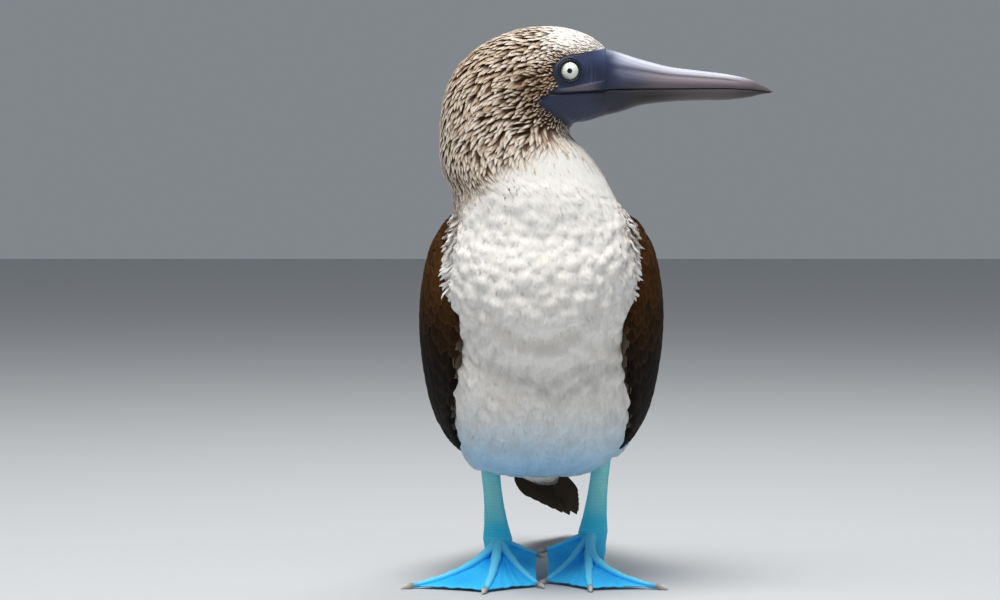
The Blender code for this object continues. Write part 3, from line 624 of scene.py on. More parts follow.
def side_flow(roots):
    """The lie of the long feathers that fall over the front of the wings."""
    flow = body_flow(roots) * 0.75
    flow[:, 1] += 0.5
    flow[:, 0] += 0.35 * np.sign(np.cos(roots[:, 1]))
    return unit(flow + rng.normal(0, 0.25, flow.shape))


def streaked(a, x, z):
    """How far a place lies in the streaked brown of head and nape, above a line from chin to shoulder."""
    limit = np.interp(x, [-60, -57, -48, -29, 16, 30], [214, 223, 240, 257, 279, 284])
    brow = fade(x, -8, 14) * fade(z, 320, 330)
    return fade(z - limit, -9, 9) * fade(a, 10.2, 11.5) * (1 - 0.85 * brow)


def plumage_tones(roots):
    """Base and tip colour of each body feather from its place, and how dark its base is."""
    count = len(roots)
    a, b = roots[:, 0], roots[:, 1] % TAU
    x, y, z = body(a, b).T
    chance, other = rng.random(count), rng.normal(0, 1, count)
    tip, base = mix(WHITE, WHITE * 0.94, chance), np.tile(WHITE * 0.9, (count, 1))
    # Painted reflection: the belly over the feet takes on the blue light bounced up from them
    reflected_blue = 0.7 * fade(-z, -118, -60) * fade(np.sin(b), -0.5, 0.3)
    tip, base = mix(tip, BOUNCE, reflected_blue), mix(base, BOUNCE, reflected_blue)
    # Head and nape: pale tips over brown bases, with single dark ones below
    streak = streaked(a, x, z)
    streak = np.maximum(streak, 0.9 * (chance > 0.96) * streaked(a, x, z + 24))
    warm = fade(-x, -4, 50) * fade(z, 270, 325)
    cheek = fade(x, -26, -6) * (1 - fade(x, 6, 12)) * fade(z, 284, 292) * (1 - fade(z, 308, 322))
    pale = mix(CREAM, BUFF, np.clip(0.15 + 0.45 * warm + 0.5 * cheek + 0.25 * other, 0, 1))
    pale = mix(pale, TAN, np.clip(0.25 * warm + 0.4 * cheek + 0.18 * other, 0, 0.75))
    tip = mix(tip, pale, np.clip(streak * 1.2, 0, 1))
    base = mix(base, UMBER, np.clip(streak * 1.3, 0, 1) ** 0.7)
    # Brown flecks where neck and wing meet
    fleck = fade(a, 8.9, 9.8) * (1 - fade(a, 10.6, 11.6)) * fade(np.abs(np.cos(b)), 0.86, 0.97)
    fleck = fleck * (chance > 0.3)
    base, tip = mix(base, WING_BROWN, fleck), mix(tip, mix(BUFF, TAN, chance), fleck * 0.7)
    # Back between the wings: brown with pale tips, white on the rump
    mantle = fade(y, -8, 14) * (1 - fade(a, NAPE_ROW - 1.2, NAPE_ROW + 0.4)) * fade(np.sin(-b), 0.15, 0.5)
    mantle = mantle * fade(a, 2.0, 3.2)
    tip = mix(tip, mix(WING_EDGE, WHITE, chance * 0.5), mantle * 0.9)
    base = mix(base, WING_BROWN, mantle)
    return base, tip, np.clip(streak + mantle + fleck, 0, 1)


# The white coat swells in soft mounds: low domes on a jittered lattice
DOMES_ROUND, DOMES_PER_ROW, DOME_ROWS = 44, 3.6, 80
DOMES = rng.uniform(-1, 1, (DOME_ROWS, DOMES_ROUND, 3))
# Fold under the breast: x and height of its lowest point, and how fast it climbs to the sides
FOLD_X, FOLD_Z, FOLD_CLIMB = -4.6, 147.7, 0.018


def mounds(a, b):
    """Height of the coat over its mean level, in mm."""
    across, along = (np.asarray(b) % TAU) / TAU * DOMES_ROUND, np.maximum(a, 0) * DOMES_PER_ROW
    i, j = np.floor(across).astype(int), np.floor(along).astype(int)
    best = np.zeros(np.shape(across))
    for di in (-1, 0, 1):
        for dj in (-1, 0, 1):
            dome = DOMES[np.minimum(j + dj, DOME_ROWS - 1), (i + di) % DOMES_ROUND]
            off = ((across - i - di - 0.5 - 0.4 * dome[..., 0]) ** 2
                   + (along - j - dj - 0.5 - 0.4 * dome[..., 1]) ** 2)
            best = np.maximum(best, (1 + 0.3 * dome[..., 2]) * np.exp(-1.5 * off))
    size = np.interp(a, [0, 4, 6.0, 6.7, 7.6, 9.5, 12.2], [0.5, 0.7, 1.1, 1.35, 1.05, 0.85, 0.0])
    # The breast hangs over the belly along an arc, with a fluffy roll under the fold
    p = body(a, b)
    off = p[..., 0] - FOLD_X
    over = p[..., 2] - FOLD_Z - FOLD_CLIMB * off ** 2
    front = fade(np.sin(b), 0.2, 0.5) * (1 - fade(np.abs(off), 14, 42))
    fold = 3.0 * bell(over, -9, 5.5) - 3.4 * bell(over, 0, 3.2) + 2.2 * bell(over, 10, 7.5)
    return 4.2 * size * (best - 0.8) + front * fold


def coat(a, b, lift=0.0):
    """The body with the mounds of its coat."""
    return body(a, b, np.asarray(lift) + mounds(a, b))


def face_gap(a, p):
    """How far a place on the body lies outside the bare face; below the head it is far off."""
    return np.where(a < NAPE_ROW + 3, 99.0, -edge_distance(p[..., 0], p[..., 2]))


def skin_depth(a, b):
    """Thickness of the coat over the skin: thin where it is white, thicker where it is streaked."""
    p = body(a, b)
    thick = np.interp(a, [11, 13, 16, 19, LAST_ROW], [0.8, 1.3, 1.6, 0.9, 0.4])
    return 0.35 + thick * streaked(a, p[..., 0], p[..., 2])


# Skin under the coat

def skin_place(u, v):
    a, b = v * LAST_ROW, u * TAU
    p = body(a, b)
    bare = fade(edge_distance(p[:, 0], p[:, 2]), 0.5, 3) * (v > 0.65)
    return coat(a, b, -skin_depth(a, b) - 2.0 * bare)


def skin_paint(u, v, points):
    base, tip, dark = plumage_tones(np.stack([v * LAST_ROW, u * TAU], -1))
    bare = fade(edge_distance(points[:, 0], points[:, 2]), -0.3, 0.8) * (v > 0.7)
    return mix(mix(tip * 0.9, base * 0.8, dark), SLATE, bare)


grid_piece("body_skin", 200, 320, skin_place, skin_paint, skin_under,
           replaces=("torso", "neck", "head"))


def leaf(power_root=0.6, widest=0.55, tip=0.12):
    """An outline that swells to widest and closes to a tip."""
    def outline(s):
        rise = np.clip(s / widest, 0, 1) ** power_root
        fall = 1 - np.clip((s - widest) / (1 - widest), 0, 1) ** 2.2
        return np.maximum(np.minimum(rise, 1) * fall, 0) * (1 - tip) + tip * (1 - 0.4 * s)
    return outline


def body_coat(name, a_from, a_to, files, area, length, half, rise, crown, outline, material,
              b_from=0.0, b_to=TAU, rows=6, flow=body_flow):
    """Feathers over part of the body.

    Length, half width, rise of the tip and crown are functions of (a, gap to the face).
    """
    roots = scatter(body, a_from, a_to, files, b_from, b_to, area)
    p = body(roots[:, 0], roots[:, 1])
    gap = face_gap(roots[:, 0], p)
    clear = gap > 0.5
    roots, gap, p = roots[clear], gap[clear], p[clear]
    a, count = roots[:, 0], len(roots)
    plain = 1 - streaked(a, p[:, 0], p[:, 2])
    lengths = length(a, gap) * rng.uniform(0.8, 1.2, count)
    halves = half(a, gap) * rng.uniform(0.85, 1.15, count)
    halves = halves + (np.minimum(halves, 1.3) - halves) * plain
    tipped = rise(a, gap) * rng.uniform(0.5, 1.5, count)
    tipped = tipped + (np.minimum(tipped, 0.1) - tipped) * plain * (flow is body_flow)
    ends = ends_on_body(roots, lengths, flow(roots))
    ends[:, 0] = np.clip(ends[:, 0], 0.0, LAST_ROW)

    def lift(s):
        root_depth = skin_depth(a, roots[:, 1])[:, None] * (1 - s[None, :]) ** 1.6
        return -root_depth + tipped[:, None] * s[None, :] ** 1.2
    points, s, u = lay(coat, roots, ends, halves, rows, outline, lift, crown(a, gap),
                       bend=rng.normal(0, 0.05, count) * lengths)
    base, tip, dark = plumage_tones(roots)
    start = 0.3 + rng.normal(0, 0.1, count)[:, None]
    share = fade((s[None, :] - start) / 0.45, 0, 1)
    colours = mix(base[:, None, :], tip[:, None, :], share)[:, :, None, :]
    # Brown shows along the edges, and painted shade makes the valleys of the white coat, the fold under the
    # breast among them, a little greyer
    rim = np.abs(u)[None, None, :] * dark[:, None, None] * (1 - 0.4 * s[None, :, None])
    colours = mix(colours + 0 * rim[..., None], base[:, None, None, :], 0.9 * rim)
    valley_shade = fade(-mounds(a, roots[:, 1]), -0.4, 1.2) * (1 - dark)
    colours = colours * (1 - valley_shade[:, None, None, None] * (0.08, 0.095, 0.11))
    uv = patches(round_places(roots, LAST_ROW), s, u)
    vane = barbs(points, s, u, halves, lengths)
    print(name, count, "feathers")
    return feather_piece(name, points, colours, uv, vane, material)


def barbs(points, s, u, halves, lengths):
    """Place on each vane in mm: across the barbs, along them, and a draw per feather."""
    vane = np.zeros(points.shape)
    across = np.abs(u)[None, None, :] * np.reshape(halves, (-1, 1, 1))
    vane[..., 0] = s[None, :, None] * np.reshape(lengths, (-1, 1, 1)) - across
    vane[..., 1] = across
    vane[..., 2] = rng.uniform(0, 60, (len(points), 1, 1))
    return vane


def steady(rows, sizes):
    """A size read from a short table by the row on the body."""
    return lambda a, gap: np.interp(a, rows, sizes)


def by_gap(rows, sizes, least, slope):
    """The same, but shrinking towards the bare face."""
    return lambda a, gap: np.minimum(np.interp(a, rows, sizes), least + slope * gap)


def white_area(a, b):
    """Room of one white feather in square mm: more on the back, and most under the wings."""
    hidden = (np.abs(np.cos(b)) > 0.6) & (np.sin(b) < 0.1) & (a > 1.5) & (a < 8.3)
    back = np.where(np.sin(b) < -0.2, 1.7, 1.0)
    return np.interp(a, [0, 4, 8, 11.5], [4.2, 3.6, 3.1, 3.1]) * back * (1 + 1.6 * hidden)


def head_area(a, b):
    """Room of one feather of neck and head in square mm: less where it is white or near the face."""
    p = body(a, b)
    room = np.interp(a, [11, 14, 19, 22], [5.0, 9.5, 9.0, 3.5])
    room = 3.4 + (room - 3.4) * streaked(a, p[..., 0], p[..., 2])
    return np.clip(1.6 + 0.4 * face_gap(a, p), 1.6, room)


tuft, pointed = leaf(0.5, 0.6, 0.18), leaf(0.5, 0.42, 0.08)
NECK_FROM, HEAD_FROM = 11.5, 15.0
HEAD_ROWS = [15, 18, 21]
for name, a_from, a_to, files in (("rump_feathers", 0.15, 2.6, 190), ("belly_feathers", 2.6, 5.0, 190),
                                  ("breast_feathers", 5.0, 8.2, 210),
                                  ("chest_feathers", 8.2, NECK_FROM, 210)):
    body_coat(name, a_from, a_to, files, white_area, steady([0, 6, 8, 11.5], [11, 10, 9.5, 9]),
              steady([0, 6, 8, 11.5], [1.35, 1.3, 1.25, 1.15]), steady([0, 11.5], [0.2, 0.2]),
              steady([0, 11.5], [0.04, 0.04]), pointed, down_feather, rows=5)
body_coat("neck_feathers", NECK_FROM, HEAD_FROM, 104, head_area, steady([11, 13, 15], [9.0, 10.0, 10.5]),
          steady([11, 13, 15], [1.2, 1.4, 1.5]), steady([11, 12.5, 15], [0.2, 0.6, 0.9]),
          steady([11, 12.5, 15], [0.1, 0.35, 0.5]), pointed, neck_feather)
body_coat("head_feathers", HEAD_FROM, LAST_ROW, 112, head_area, by_gap(HEAD_ROWS, [10.5, 9.5, 4.5], 2.4, 0.4),
          by_gap(HEAD_ROWS, [1.5, 1.4, 0.8], 0.45, 0.07), by_gap(HEAD_ROWS, [0.9, 0.8, 0.25], 0.1, 0.05),
          by_gap(HEAD_ROWS, [0.5, 0.45, 0.15], 0.1, 0.03), pointed, neck_feather)
for name, b_from, b_to in (("left_side_fringe", -0.25, 0.42),
                           ("right_side_fringe", math.pi - 0.42, math.pi + 0.25)):
    body_coat(name, 7.4, 10.4, 14, even(13.0), steady([7, 10], [13, 11]),
              steady([7, 10], [1.7, 1.5]), steady([7, 8, 10], [3.2, 3.6, 2.2]), steady([7, 10], [0.3, 0.3]),
              leaf(0.5, 0.4, 0.06), down_feather, b_from, b_to, rows=7, flow=side_flow)


# Thigh feathers over the top of each leg

THIGH_END = len(THIGH) - 1


def short_feathers(name, surface, roots, ends, halves, lift, tones, last, wide, lengths):
    """White feathers of one colour each; tones(points) gives their colours once they are laid."""
    points, s, u = lay(surface, roots, ends, halves, 6, tuft, lift, np.full(len(roots), 0.25))
    tone = tones(points)[:, None, None, :] * np.ones((1, len(s), len(u), 1))
    vane = barbs(points, s, u, np.full(len(roots), wide), lengths)
    uv = patches(round_places(roots, last), s, u)
    feather_piece(name, points, tone, uv, vane, down_feather)


def thigh_surface(side):
    (x, y, z), inwards = LEGS[side]["ankle"], -1 if side == "left" else 1
    rows = np.array([(x + inwards * dx, y + dy, z + dz, wide, deep) for dz, dx, dy, wide, deep in THIGH])

    @lifted
    def surface(a, b):
        row = curve(rows, a)
        return ring(row, row[..., 3], row[..., 4], b)
    return surface


def thigh_painted_reflection(white, points):
    """White with a painted reflection of the feet's blue light further down, as on the belly."""
    return mix(white, BOUNCE, 0.5 * fade(-points[:, 2], -116, -64))


for side in LEGS:
    surface = thigh_surface(side)

    def thigh_place(u, v, surface=surface):
        return surface(v * THIGH_END, u * TAU, np.full(len(u), 0.9))
    grid_piece(f"thigh_skin_{side}", 40, 30, thigh_place, lambda u, v, p: thigh_painted_reflection(WHITE * 0.9, p),
               skin_under)
    roots = scatter(surface, 0.3, 4.6, 44, 0, TAU, even(4.5))
    count = len(roots)
    lengths = rng.uniform(6.5, 9, count)
    down = np.minimum(lengths / pace(surface, *roots.T, da=0.05), THIGH_END + 0.25 - roots[:, 0])
    ends = roots + np.stack([down, rng.normal(0, 0.08, count)], -1)

    def thigh_tones(points):
        return thigh_painted_reflection(mix(WHITE, WHITE * 0.92, rng.random(len(points))), points[:, 2, 1])
    short_feathers(f"thigh_feathers_{side}", surface, roots, ends, rng.uniform(1.3, 1.7, count),
                   lambda s: 0.8 + 0.9 * s - 0.3 * (1 - s) ** 1.5, thigh_tones, THIGH_END, 1.5, lengths)


# Wings

# Row of the wing where its filling ends
CORE_END = 6.6


def wing_core_place(surface):
    """The filling under the feathers of a wing, from the shoulder to row CORE_END."""
    def place(u, v):
        a = v * CORE_END
        top, share = folded(u)
        b = -0.04 + 1.04 * share
        thin_out = np.clip((CORE_END - a) / 2.2, 0.05, 1)
        depth = np.where(top, 0.9, 1.2 + 20 * np.sin(np.pi * np.clip(b, 0, 1)) ** 0.8 * thin_out)
        return surface(a, b, -depth)
    return place


def broad(s, root=0.5, shoulder=0.72):
    """The outline of a flight feather or covert: near parallel, then a rounded tip."""
    rise = root + (1 - root) * fade(s, 0, 0.45)
    fall = np.sqrt(np.maximum(1 - np.clip((s - shoulder) / (1 - shoulder), 0, 1) ** 2, 0))
    return np.maximum(rise * fall, 0.04)


def wing_tones(a, b):
    """Shade and edge colour of a covert by its root: warm above, nearly black below, pale in front. The
    darkening below is partly the feathers' own tone and partly painted shade.
    """
    chance = rng.random(len(a))
    # Lower on the wing the colour darkens: darker feathers with painted shade on top
    low = fade(a, 0.8, 2.7)
    warm, dark = mix(WING_BROWN, WING_WARM, 0.35 + 0.65 * chance), mix(WING_DARK, WING_BROWN, 0.3 * chance)
    shade = mix(warm, dark, low)
    edge = mix(shade, WING_EDGE, np.clip(0.13 - 0.1 * low + 0.07 * chance, 0, 1))
    strip = (1 - fade(b, 0.02, 0.05)) * fade(a, 1.7, 2.1) * (1 - fade(a, 3.3, 4.1))
    return mix(shade, WING_PALE * 0.35, strip * 0.9), mix(edge, WING_PALE * 0.7, strip * 0.9)


def vaned(points, s, u, shade, edge, halves, lengths, roots):
    """Points, colours, baking places and barbs of wing feathers, with a dark shaft and a paler rim."""
    rim = np.clip(fade(np.abs(u), 0.6, 1.0)[None, :] * 0.7 + fade(s, 0.78, 1.0)[:, None], 0, 1)
    colours = mix(shade[:, None, None, :], edge[:, None, None, :], rim[None, :, :])
    colours = colours * (1 - 0.18 * (np.abs(u) < 0.1))[None, None, :, None]
    return points, colours, patches(roots, s, u), barbs(points, s, u, halves, lengths)


def join_vanes(name, groups, replaces=()):
    """Feathers laid in groups of the same grid, joined to one piece."""
    points, colours, uv, vane = (np.concatenate([group[i] for group in groups]) for i in range(4))
    print(name, len(points), "feathers")
    return feather_piece(name, points, colours, uv, vane, wing_feather, replaces)


FLIGHT_FEATHERS = 22
COVERT_ROWS = [0, 1, 2, 3, 4.3]
for side, sign in (("left", 1), ("right", -1)):
    outside = wing_surface(sign)

    def core_paint(u, v, p):
        return mix(WING_BROWN * 0.6, WING_DARK * 0.5, fade(v, 0.2, 0.5))
    grid_piece(f"wing_core_{side}", 60, 90, wing_core_place(outside), core_paint, skin_under)
    # Primaries and secondaries, the longest under the shorter ones above
    flight = []
    for i in range(FLIGHT_FEATHERS):
        share = i / (FLIGHT_FEATHERS - 1)
        b0, b1 = 0.04 + 0.88 * share, 0.14 + 0.74 * share
        a0, a1 = 4.0 - 0.9 * share, 9.05 - 0.21 * min(i, 10) - 0.22 * max(0, i - 10)
        root, end = np.array([[a0, b0]]), np.array([[a1, b1]])
        edge = outside(np.array([6.0, 6.0]), np.array([b1 - 0.035, b1 + 0.035]))
        half = size_of(edge[1:] - edge[:1])
        points, s, u = lay(outside, root, end, half, 14, lambda s: broad(s, 0.6, 0.55),
                           lambda s: 0.2 + 0.05 * i - 1.2 * np.clip(1 - s / 0.2, 0, 1), half * 0.08,
                           columns=7, tilt=-0.45)
        shade = mix(WING_DARK * 0.7, WING_DARK, share)[None, :]
        flight.append(vaned(points, s, u, shade, mix(shade, WING_EDGE, 0.16 + 0.1 * share), half, [90.0],
                            np.array([[a0 / 9.2, max(b0, 0)]])))
    join_vanes(f"flight_feathers_{side}", flight, replaces=(f"wing_{side}",))
    # Coverts, growing from the small ones of the shoulder to the long ones over the flight feathers
    roots = scatter(outside, -0.12, 3.7, 34, -0.03, 1.03,
                    lambda a, b: np.interp(a, COVERT_ROWS, [13, 20, 34, 60, 100]))
    a, b = roots.T
    lengths = np.interp(a, COVERT_ROWS, [8.5, 12, 17, 27, 40]) * rng.uniform(0.88, 1.12, len(a))
    halves = np.interp(a, COVERT_ROWS, [2.5, 3.2, 4.1, 5.2, 6.2]) * rng.uniform(0.9, 1.1, len(a))
    stray = rng.normal(0.0, 1, len(a)) * np.where(b < 0.08, 0.003, 0.012)
    ends = roots + np.stack([lengths / pace(outside, a, b, da=0.1), stray + 0.03 * (b < 0)], -1)
    points, s, u = lay(outside, roots, ends, halves, 8, lambda s: broad(s, 0.5, 0.66),
                       lambda s: 0.75 * s - 0.9 * np.clip(1 - s / 0.3, 0, 1), halves * 0.07, columns=5,
                       bend=rng.normal(0, 0.02, len(a)) * lengths)
    shade, edge = wing_tones(a, b)
    coverts = vaned(points, s, u, shade, edge, halves, lengths,
                    np.stack([np.clip((a + 0.2) / 9.4, 0, 0.99), np.clip((b + 0.1) / 1.2, 0, 0.99)], -1))
    join_vanes(f"coverts_{side}", [coverts])


# Tail

tail_feathers = []
for i, reach in enumerate(TAIL_REACH):
    for way in (-1, 1):
        spread = way * 0.025 * (0.8 + i)
        root, end = np.array([[0.1, spread * 0.8]]), np.array([[reach * 1.005, spread]])
        half = np.array([5.6])
        points, s, u = lay(above_tail, root, end, half, 16, lambda s: broad(s, 0.55, 0.5) ** 1.15,
                           lambda s: np.full(len(s), 1.1 - 0.95 * i), half * 0.1, columns=7, tilt=-0.25 * way)
        shade = mix(TAIL_DARK, WING_DARK, 0.15 * i)[None, :]
        tail_feathers.append(vaned(points, s, u, shade, mix(shade, WING_EDGE, 0.12), half, [110.0],
                                   np.array([[0.5 + spread, 0.1]])))
join_vanes("tail_feathers", tail_feathers, replaces=("tail",))


def tail_stump(u, v):
    """The fleshy root of the tail under its coverts."""
    share, marks = -0.05 + v * 0.5, [-0.05, 0.1, 0.28, 0.42, 0.5]
    wide = np.interp(share, marks, [14, 17, 15, 9, 2.2]) - 1.2
    deep = np.interp(share, marks, [10.5, 10.5, 7.2, 3.4, 1.8]) - 1.2
    p = tail_fan(share, np.zeros(len(u)))
    p = p + np.stack([wide * np.cos(u * TAU), np.zeros(len(u)), np.zeros(len(u))], -1)
    up = np.array([0, math.sin(TAIL_DROP), math.cos(TAIL_DROP)])
    return p + up * (deep * np.sin(u * TAU))[:, None]


def stump_tone(turn, share):
    """White below at the root, dark brown above and towards the vanes."""
    above = fade(np.sin(turn), -0.1, 0.4) * fade(share, 0.1, 0.4)
    return mix(WHITE * 0.9, WING_DARK, np.maximum(above, fade(share, 0.3, 0.6)))


grid_piece("tail_root", 40, 40, tail_stump, lambda u, v, p: stump_tone(u * TAU, v), skin_under)


@lifted
def stump_surface(a, b):
    return tail_stump(b.ravel() / TAU, a.ravel()).reshape(a.shape + (3,))


roots = scatter(stump_surface, 0.02, 0.72, 34, 0, TAU, even(6.0))
count = len(roots)
ends = roots + np.stack([rng.uniform(0.17, 0.23, count), rng.normal(0, 0.05, count)], -1)
ends[:, 0] = np.minimum(ends[:, 0], 0.96)
short_feathers("tail_coverts", stump_surface, roots, ends, rng.uniform(1.5, 2.1, count), lambda s: s + 0.1,
               lambda points: stump_tone(roots[:, 1], roots[:, 0]), 1, 1.8, np.full(count, 10.0))


# Face: bare skin with its folds, from behind the eye to the root of the bill

def mouth_line(x):
    """Height of the mouth along the bare face."""
    return 298.9 + 0.06 * (x - 3)


def from_eye(x, z):
    return np.hypot(x - EYE[0], z - EYE[2])


def creases(x, z):
    """Fine wrinkles of the bare skin round the eye and along the jaw, from 0 to 1."""
    r, turn = from_eye(x, z), np.arctan2(z - EYE[2], x - EYE[0])
    stray = 2.4 * np.sin(2 * turn + 1) + 1.2 * np.sin(5 * turn + 2) + 0.9 * np.sin(0.8 * x)
    rings = sine(r * 2.7 + stray)
    rings = rings * (0.55 + 0.45 * np.sin(4 * turn + 0.6 * r))
    near = fade(r, 8.2, 9.4) * (1 - fade(r, 14, 21)) * fade(z, 302, 305)
    jaw = sine((z - 0.38 * x) * 3.1 + 0.8 * np.sin(x * 0.5) + 0.6 * np.sin(z * 1.3))
    return near * rings, jaw * (1 - fade(z, 294, 298))


def gape_plate(x, z):
    """1 on the horny plate over the corner of the mouth, which widens towards the bill."""
    above = z - mouth_line(x)
    wide = 2.2 + 0.13 * np.maximum(x - 4, 0)
    return fade(above, 0.3, 1.2) * (1 - fade(above, wide - 0.6, wide + 0.5)) * (1 - fade(x, 33, 38))


# Row of the neck where the bare skin starts
FACE_FROM = 13.6


def face_place(u, v):
    """The bare skin, a little under the body's outline and deeper where feathers cover it."""
    a, angle = FACE_FROM + v * (LAST_ROW - FACE_FROM), u * TAU
    p = body(a, angle)
    x, z = p[:, 0], p[:, 2]
    inside = edge_distance(x, z)
    depth = np.where(inside > 0, 0.35, 0.35 + np.minimum(-inside * 0.5, 3.0))
    # The pouch under the chin is finely pleated and the corner of the mouth folds inwards
    rings, jaw = creases(x, z)
    depth = depth + (0.15 * rings + 0.17 * jaw) * fade(inside, 0, 2)
    mouth = mouth_line(x)
    depth = depth + 1.2 * bell(z, mouth, 0.8) * fade(x, -1.5, 2)
    depth = depth - 0.7 * gape_plate(x, z) * fade(x, 2, 10)
    depth = depth - 0.35 * bell(z - mouth, -2.2, 1.4) * fade(x, 0, 6)
    # A soft hollow between eye and bill
    depth = depth + 0.7 * np.exp(-(((x - 26) / 5.5) ** 2 + ((z - 310) / 4.5) ** 2))
    socket = (1 - fade(from_eye(x, z), 5.2, 6.6)) * (np.abs(p[:, 1] - HEAD_Y) > 12)
    return body(a, angle, -depth - 4.5 * socket)


def face_paint(u, v, p):
    x, z = p[:, 0], p[:, 2]
    rings, jaw = creases(x, z)
    return layered(
        SLATE,
        (SLATE_DARK, 0.45 * fade(-z, -303, -294)),
        (SLATE_DARK, 0.4 * (1 - fade(from_eye(x, z), 8, 13))),
        (HORN_GREY * 0.8, 0.75 * gape_plate(x, z) * fade(x, 4, 14)),
        (SLATE_DARK * 0.4, bell(z, mouth_line(x), 0.8) * fade(x, -2, 2) * 0.9),
        # Painted shade in the hollow before the bill, and paler wrinkles round the eye and along the jaw
        (root_tone(z), fade(x, 24, 35)),
        (SLATE_DARK * 0.7, painted_hollow_shade(x, z)),
        (SLATE_PALE, 0.28 * rings),
        (SLATE_PALE * 0.8, 0.3 * jaw ** 3),
        (SLATE_DARK * 0.7, 0.6 * fade(-edge_distance(x, z), -1.4, 0.2)))


def painted_hollow_shade(x, z):
    """Strength of the painted shade in the hollow between eye and bill, the same on face and bill."""
    return 0.75 * np.exp(-((x - 30 + 0.3 * (z - 312)) / 7) ** 2 - ((z - 311) / 5.5) ** 2)


def root_tone(z):
    """Colour round the root of the bill, the same on face and bill."""
    upper = mix(SLATE, SLATE_PALE, 0.6 * fade(z, 315, 327))
    return mix(SLATE_DARK * 0.9, upper, fade(z, 299, 307))


grid_piece("face", 420, 160, face_place, face_paint, face_skin, replaces=("face",))


def head_side(side):
    """The side of the head round the eye: its y over (x, z), as a quadratic fitted to the body."""
    a, angle = (grid.ravel() for grid in np.meshgrid(np.linspace(14, 20.5, 160), np.linspace(0, TAU, 720)))
    p = body(a, angle)
    p = p[(from_eye(p[:, 0], p[:, 2]) < 11) & (side * (p[:, 1] - HEAD_Y) > 5)]

    def terms(x, z):
        x, z = x - EYE[0], z - EYE[2]
        return np.stack([np.ones_like(x), x, z, x * x, x * z, z * z], -1)
    fit = np.linalg.lstsq(terms(p[:, 0], p[:, 2]), p[:, 1], rcond=None)[0]
    return lambda x, z: terms(x, z) @ fit


def lid(name, side, over, radius, thick, height, colour, pleats):
    """A rounded, finely pleated lid ring that follows the side of the head round the eye."""
    def place(u, v):
        turn, roll = v * TAU, u * TAU
        x, z = EYE[0] + radius * np.cos(turn), EYE[2] + radius * np.sin(turn)
        r = thick * np.cos(roll) * (1 + 0.1 * np.sin(turn * pleats))
        y = over(x, z) + side * (height + 0.9 * thick * np.sin(roll) * (1 + 0.1 * np.sin(turn * pleats)))
        return np.stack([x + r * np.cos(turn), y, z + r * np.sin(turn)], -1)

    def paint(u, v, p):
        return np.tile(colour, (len(u), 1))
    return grid_piece(name, 20, 120, place, paint, face_skin)


EYE_RADIUS = 7.8
for name, side in (("right", -1), ("left", 1)):
    over = head_side(side)
    middle = np.array([EYE[0], over(EYE[0], EYE[2]) - side * (EYE_RADIUS - 1.0), EYE[2]])
    lid(f"lid_outer_{name}", side, over, 7.9, 0.7, -0.35, SLATE * 0.85, 34)
    lid(f"lid_inner_{name}", side, over, 6.6, 0.7, 0.1, SLATE_DARK * 0.6, 26)

    def eye_place(u, v, middle=middle, side=side):
        polar, turn = v * math.pi, u * TAU
        bulge = EYE_RADIUS + 0.5 * bell(polar, 0, 0.42)
        r = bulge * np.sin(polar)
        return np.stack([middle[0] + r * np.cos(turn), middle[1] + side * bulge * np.cos(polar),
                         middle[2] + r * np.sin(turn)], -1)

    def eye_paint(u, v, p, middle=middle):
        r = np.hypot(p[:, 0] - middle[0], p[:, 2] - middle[2])
        spokes = sine(u * TAU * 46 + 3 * np.sin(u * TAU * 7))
        iris = layered(IRIS, (IRIS_SPOKES, 0.35 * spokes * fade(r, 1.8, 4.5)),
                       (IRIS_RIM, fade(r, 4.7, 5.4) * 0.5))
        return layered(PUPIL, (iris, fade(r, 1.5, 1.72)),
                       (EYE_DARK, np.clip(fade(r, 5.25, 5.5) + (v > 0.5), 0, 1)))
    grid_piece(f"eyeball_{name}", 64, 140, eye_place, eye_paint, eye_wet, replaces=(f"eye_{name}",))


# Bill

# Share of u that runs round the outside of a half, and how far the lower half reaches of the whole
SIDE_SHARE = 0.82
LOWER_REACH = 0.945


def bill_row(v):
    """Length, ridge, mouth, lower edge and half width of the bill at v."""
    row = curve(BILL, v * (len(BILL) - 1))
    return row[:, 0], row[:, 1], row[:, 2], row[:, 3], np.maximum(row[:, 4], 0.3)


def half_of_bill(u, v, upper):
    """One half of the bill: its outside for SIDE_SHARE of u, then its floor along the mouth."""
    x, ridge, mouth, low, half = bill_row(v if upper else v * LOWER_REACH)
    turn, under = np.clip(u / SIDE_SHARE, 0, 1) * math.pi, np.clip((u - SIDE_SHARE) / (1 - SIDE_SHARE), 0, 1)
    rim = mouth + 0.25 if upper else mouth - 0.25
    deep = (ridge if upper else low) - rim
    level = np.sin(turn) ** (0.9 if upper else 0.75)
    z = rim + deep * level
    y = (half if upper else half * 0.94) * np.cos(turn)
    if upper:
        # A long groove below the ridge, a swell under it and a finely toothed edge
        reach = 1 - fade(x, 112, 126)
        groove = bell(level, 0.6, 0.08) * reach * fade(x, 40, 60)
        swell = bell(level, 0.28, 0.18) * reach
        teeth = bell(level, 0.05, 0.07) * np.sin(x * 2.4) * fade(x, 70, 100)
        y = y * (1 - groove * 0.08 + swell * 0.05 + teeth * 0.03)
    else:
        groove = bell(level, 0.42, 0.12) * (1 - fade(x, 96, 112)) * fade(x, 50, 62)
        y = y * (1 - groove * 0.07)
    # Round as the head where it grows out of the face
    middle, tall = (ridge + low) / 2, (ridge - low) / 2
    oval = half * 1.02 * np.sqrt(np.maximum(1 - ((z - middle) / tall) ** 2, 0.0)) * np.sign(np.cos(turn))
    y = y + (oval - y) * (1 - fade(x, 37, 52))
    floor_y = -half * (1.0 if upper else 0.94) * (1 - 2 * under)
    arch = (1.0 if upper else 0.8) * np.sin(under * math.pi)
    y = np.where(u > SIDE_SHARE, floor_y, y)
    z = np.where(u > SIDE_SHARE, rim + arch, z)
    return np.stack([x, HEAD_Y + y, z], -1)


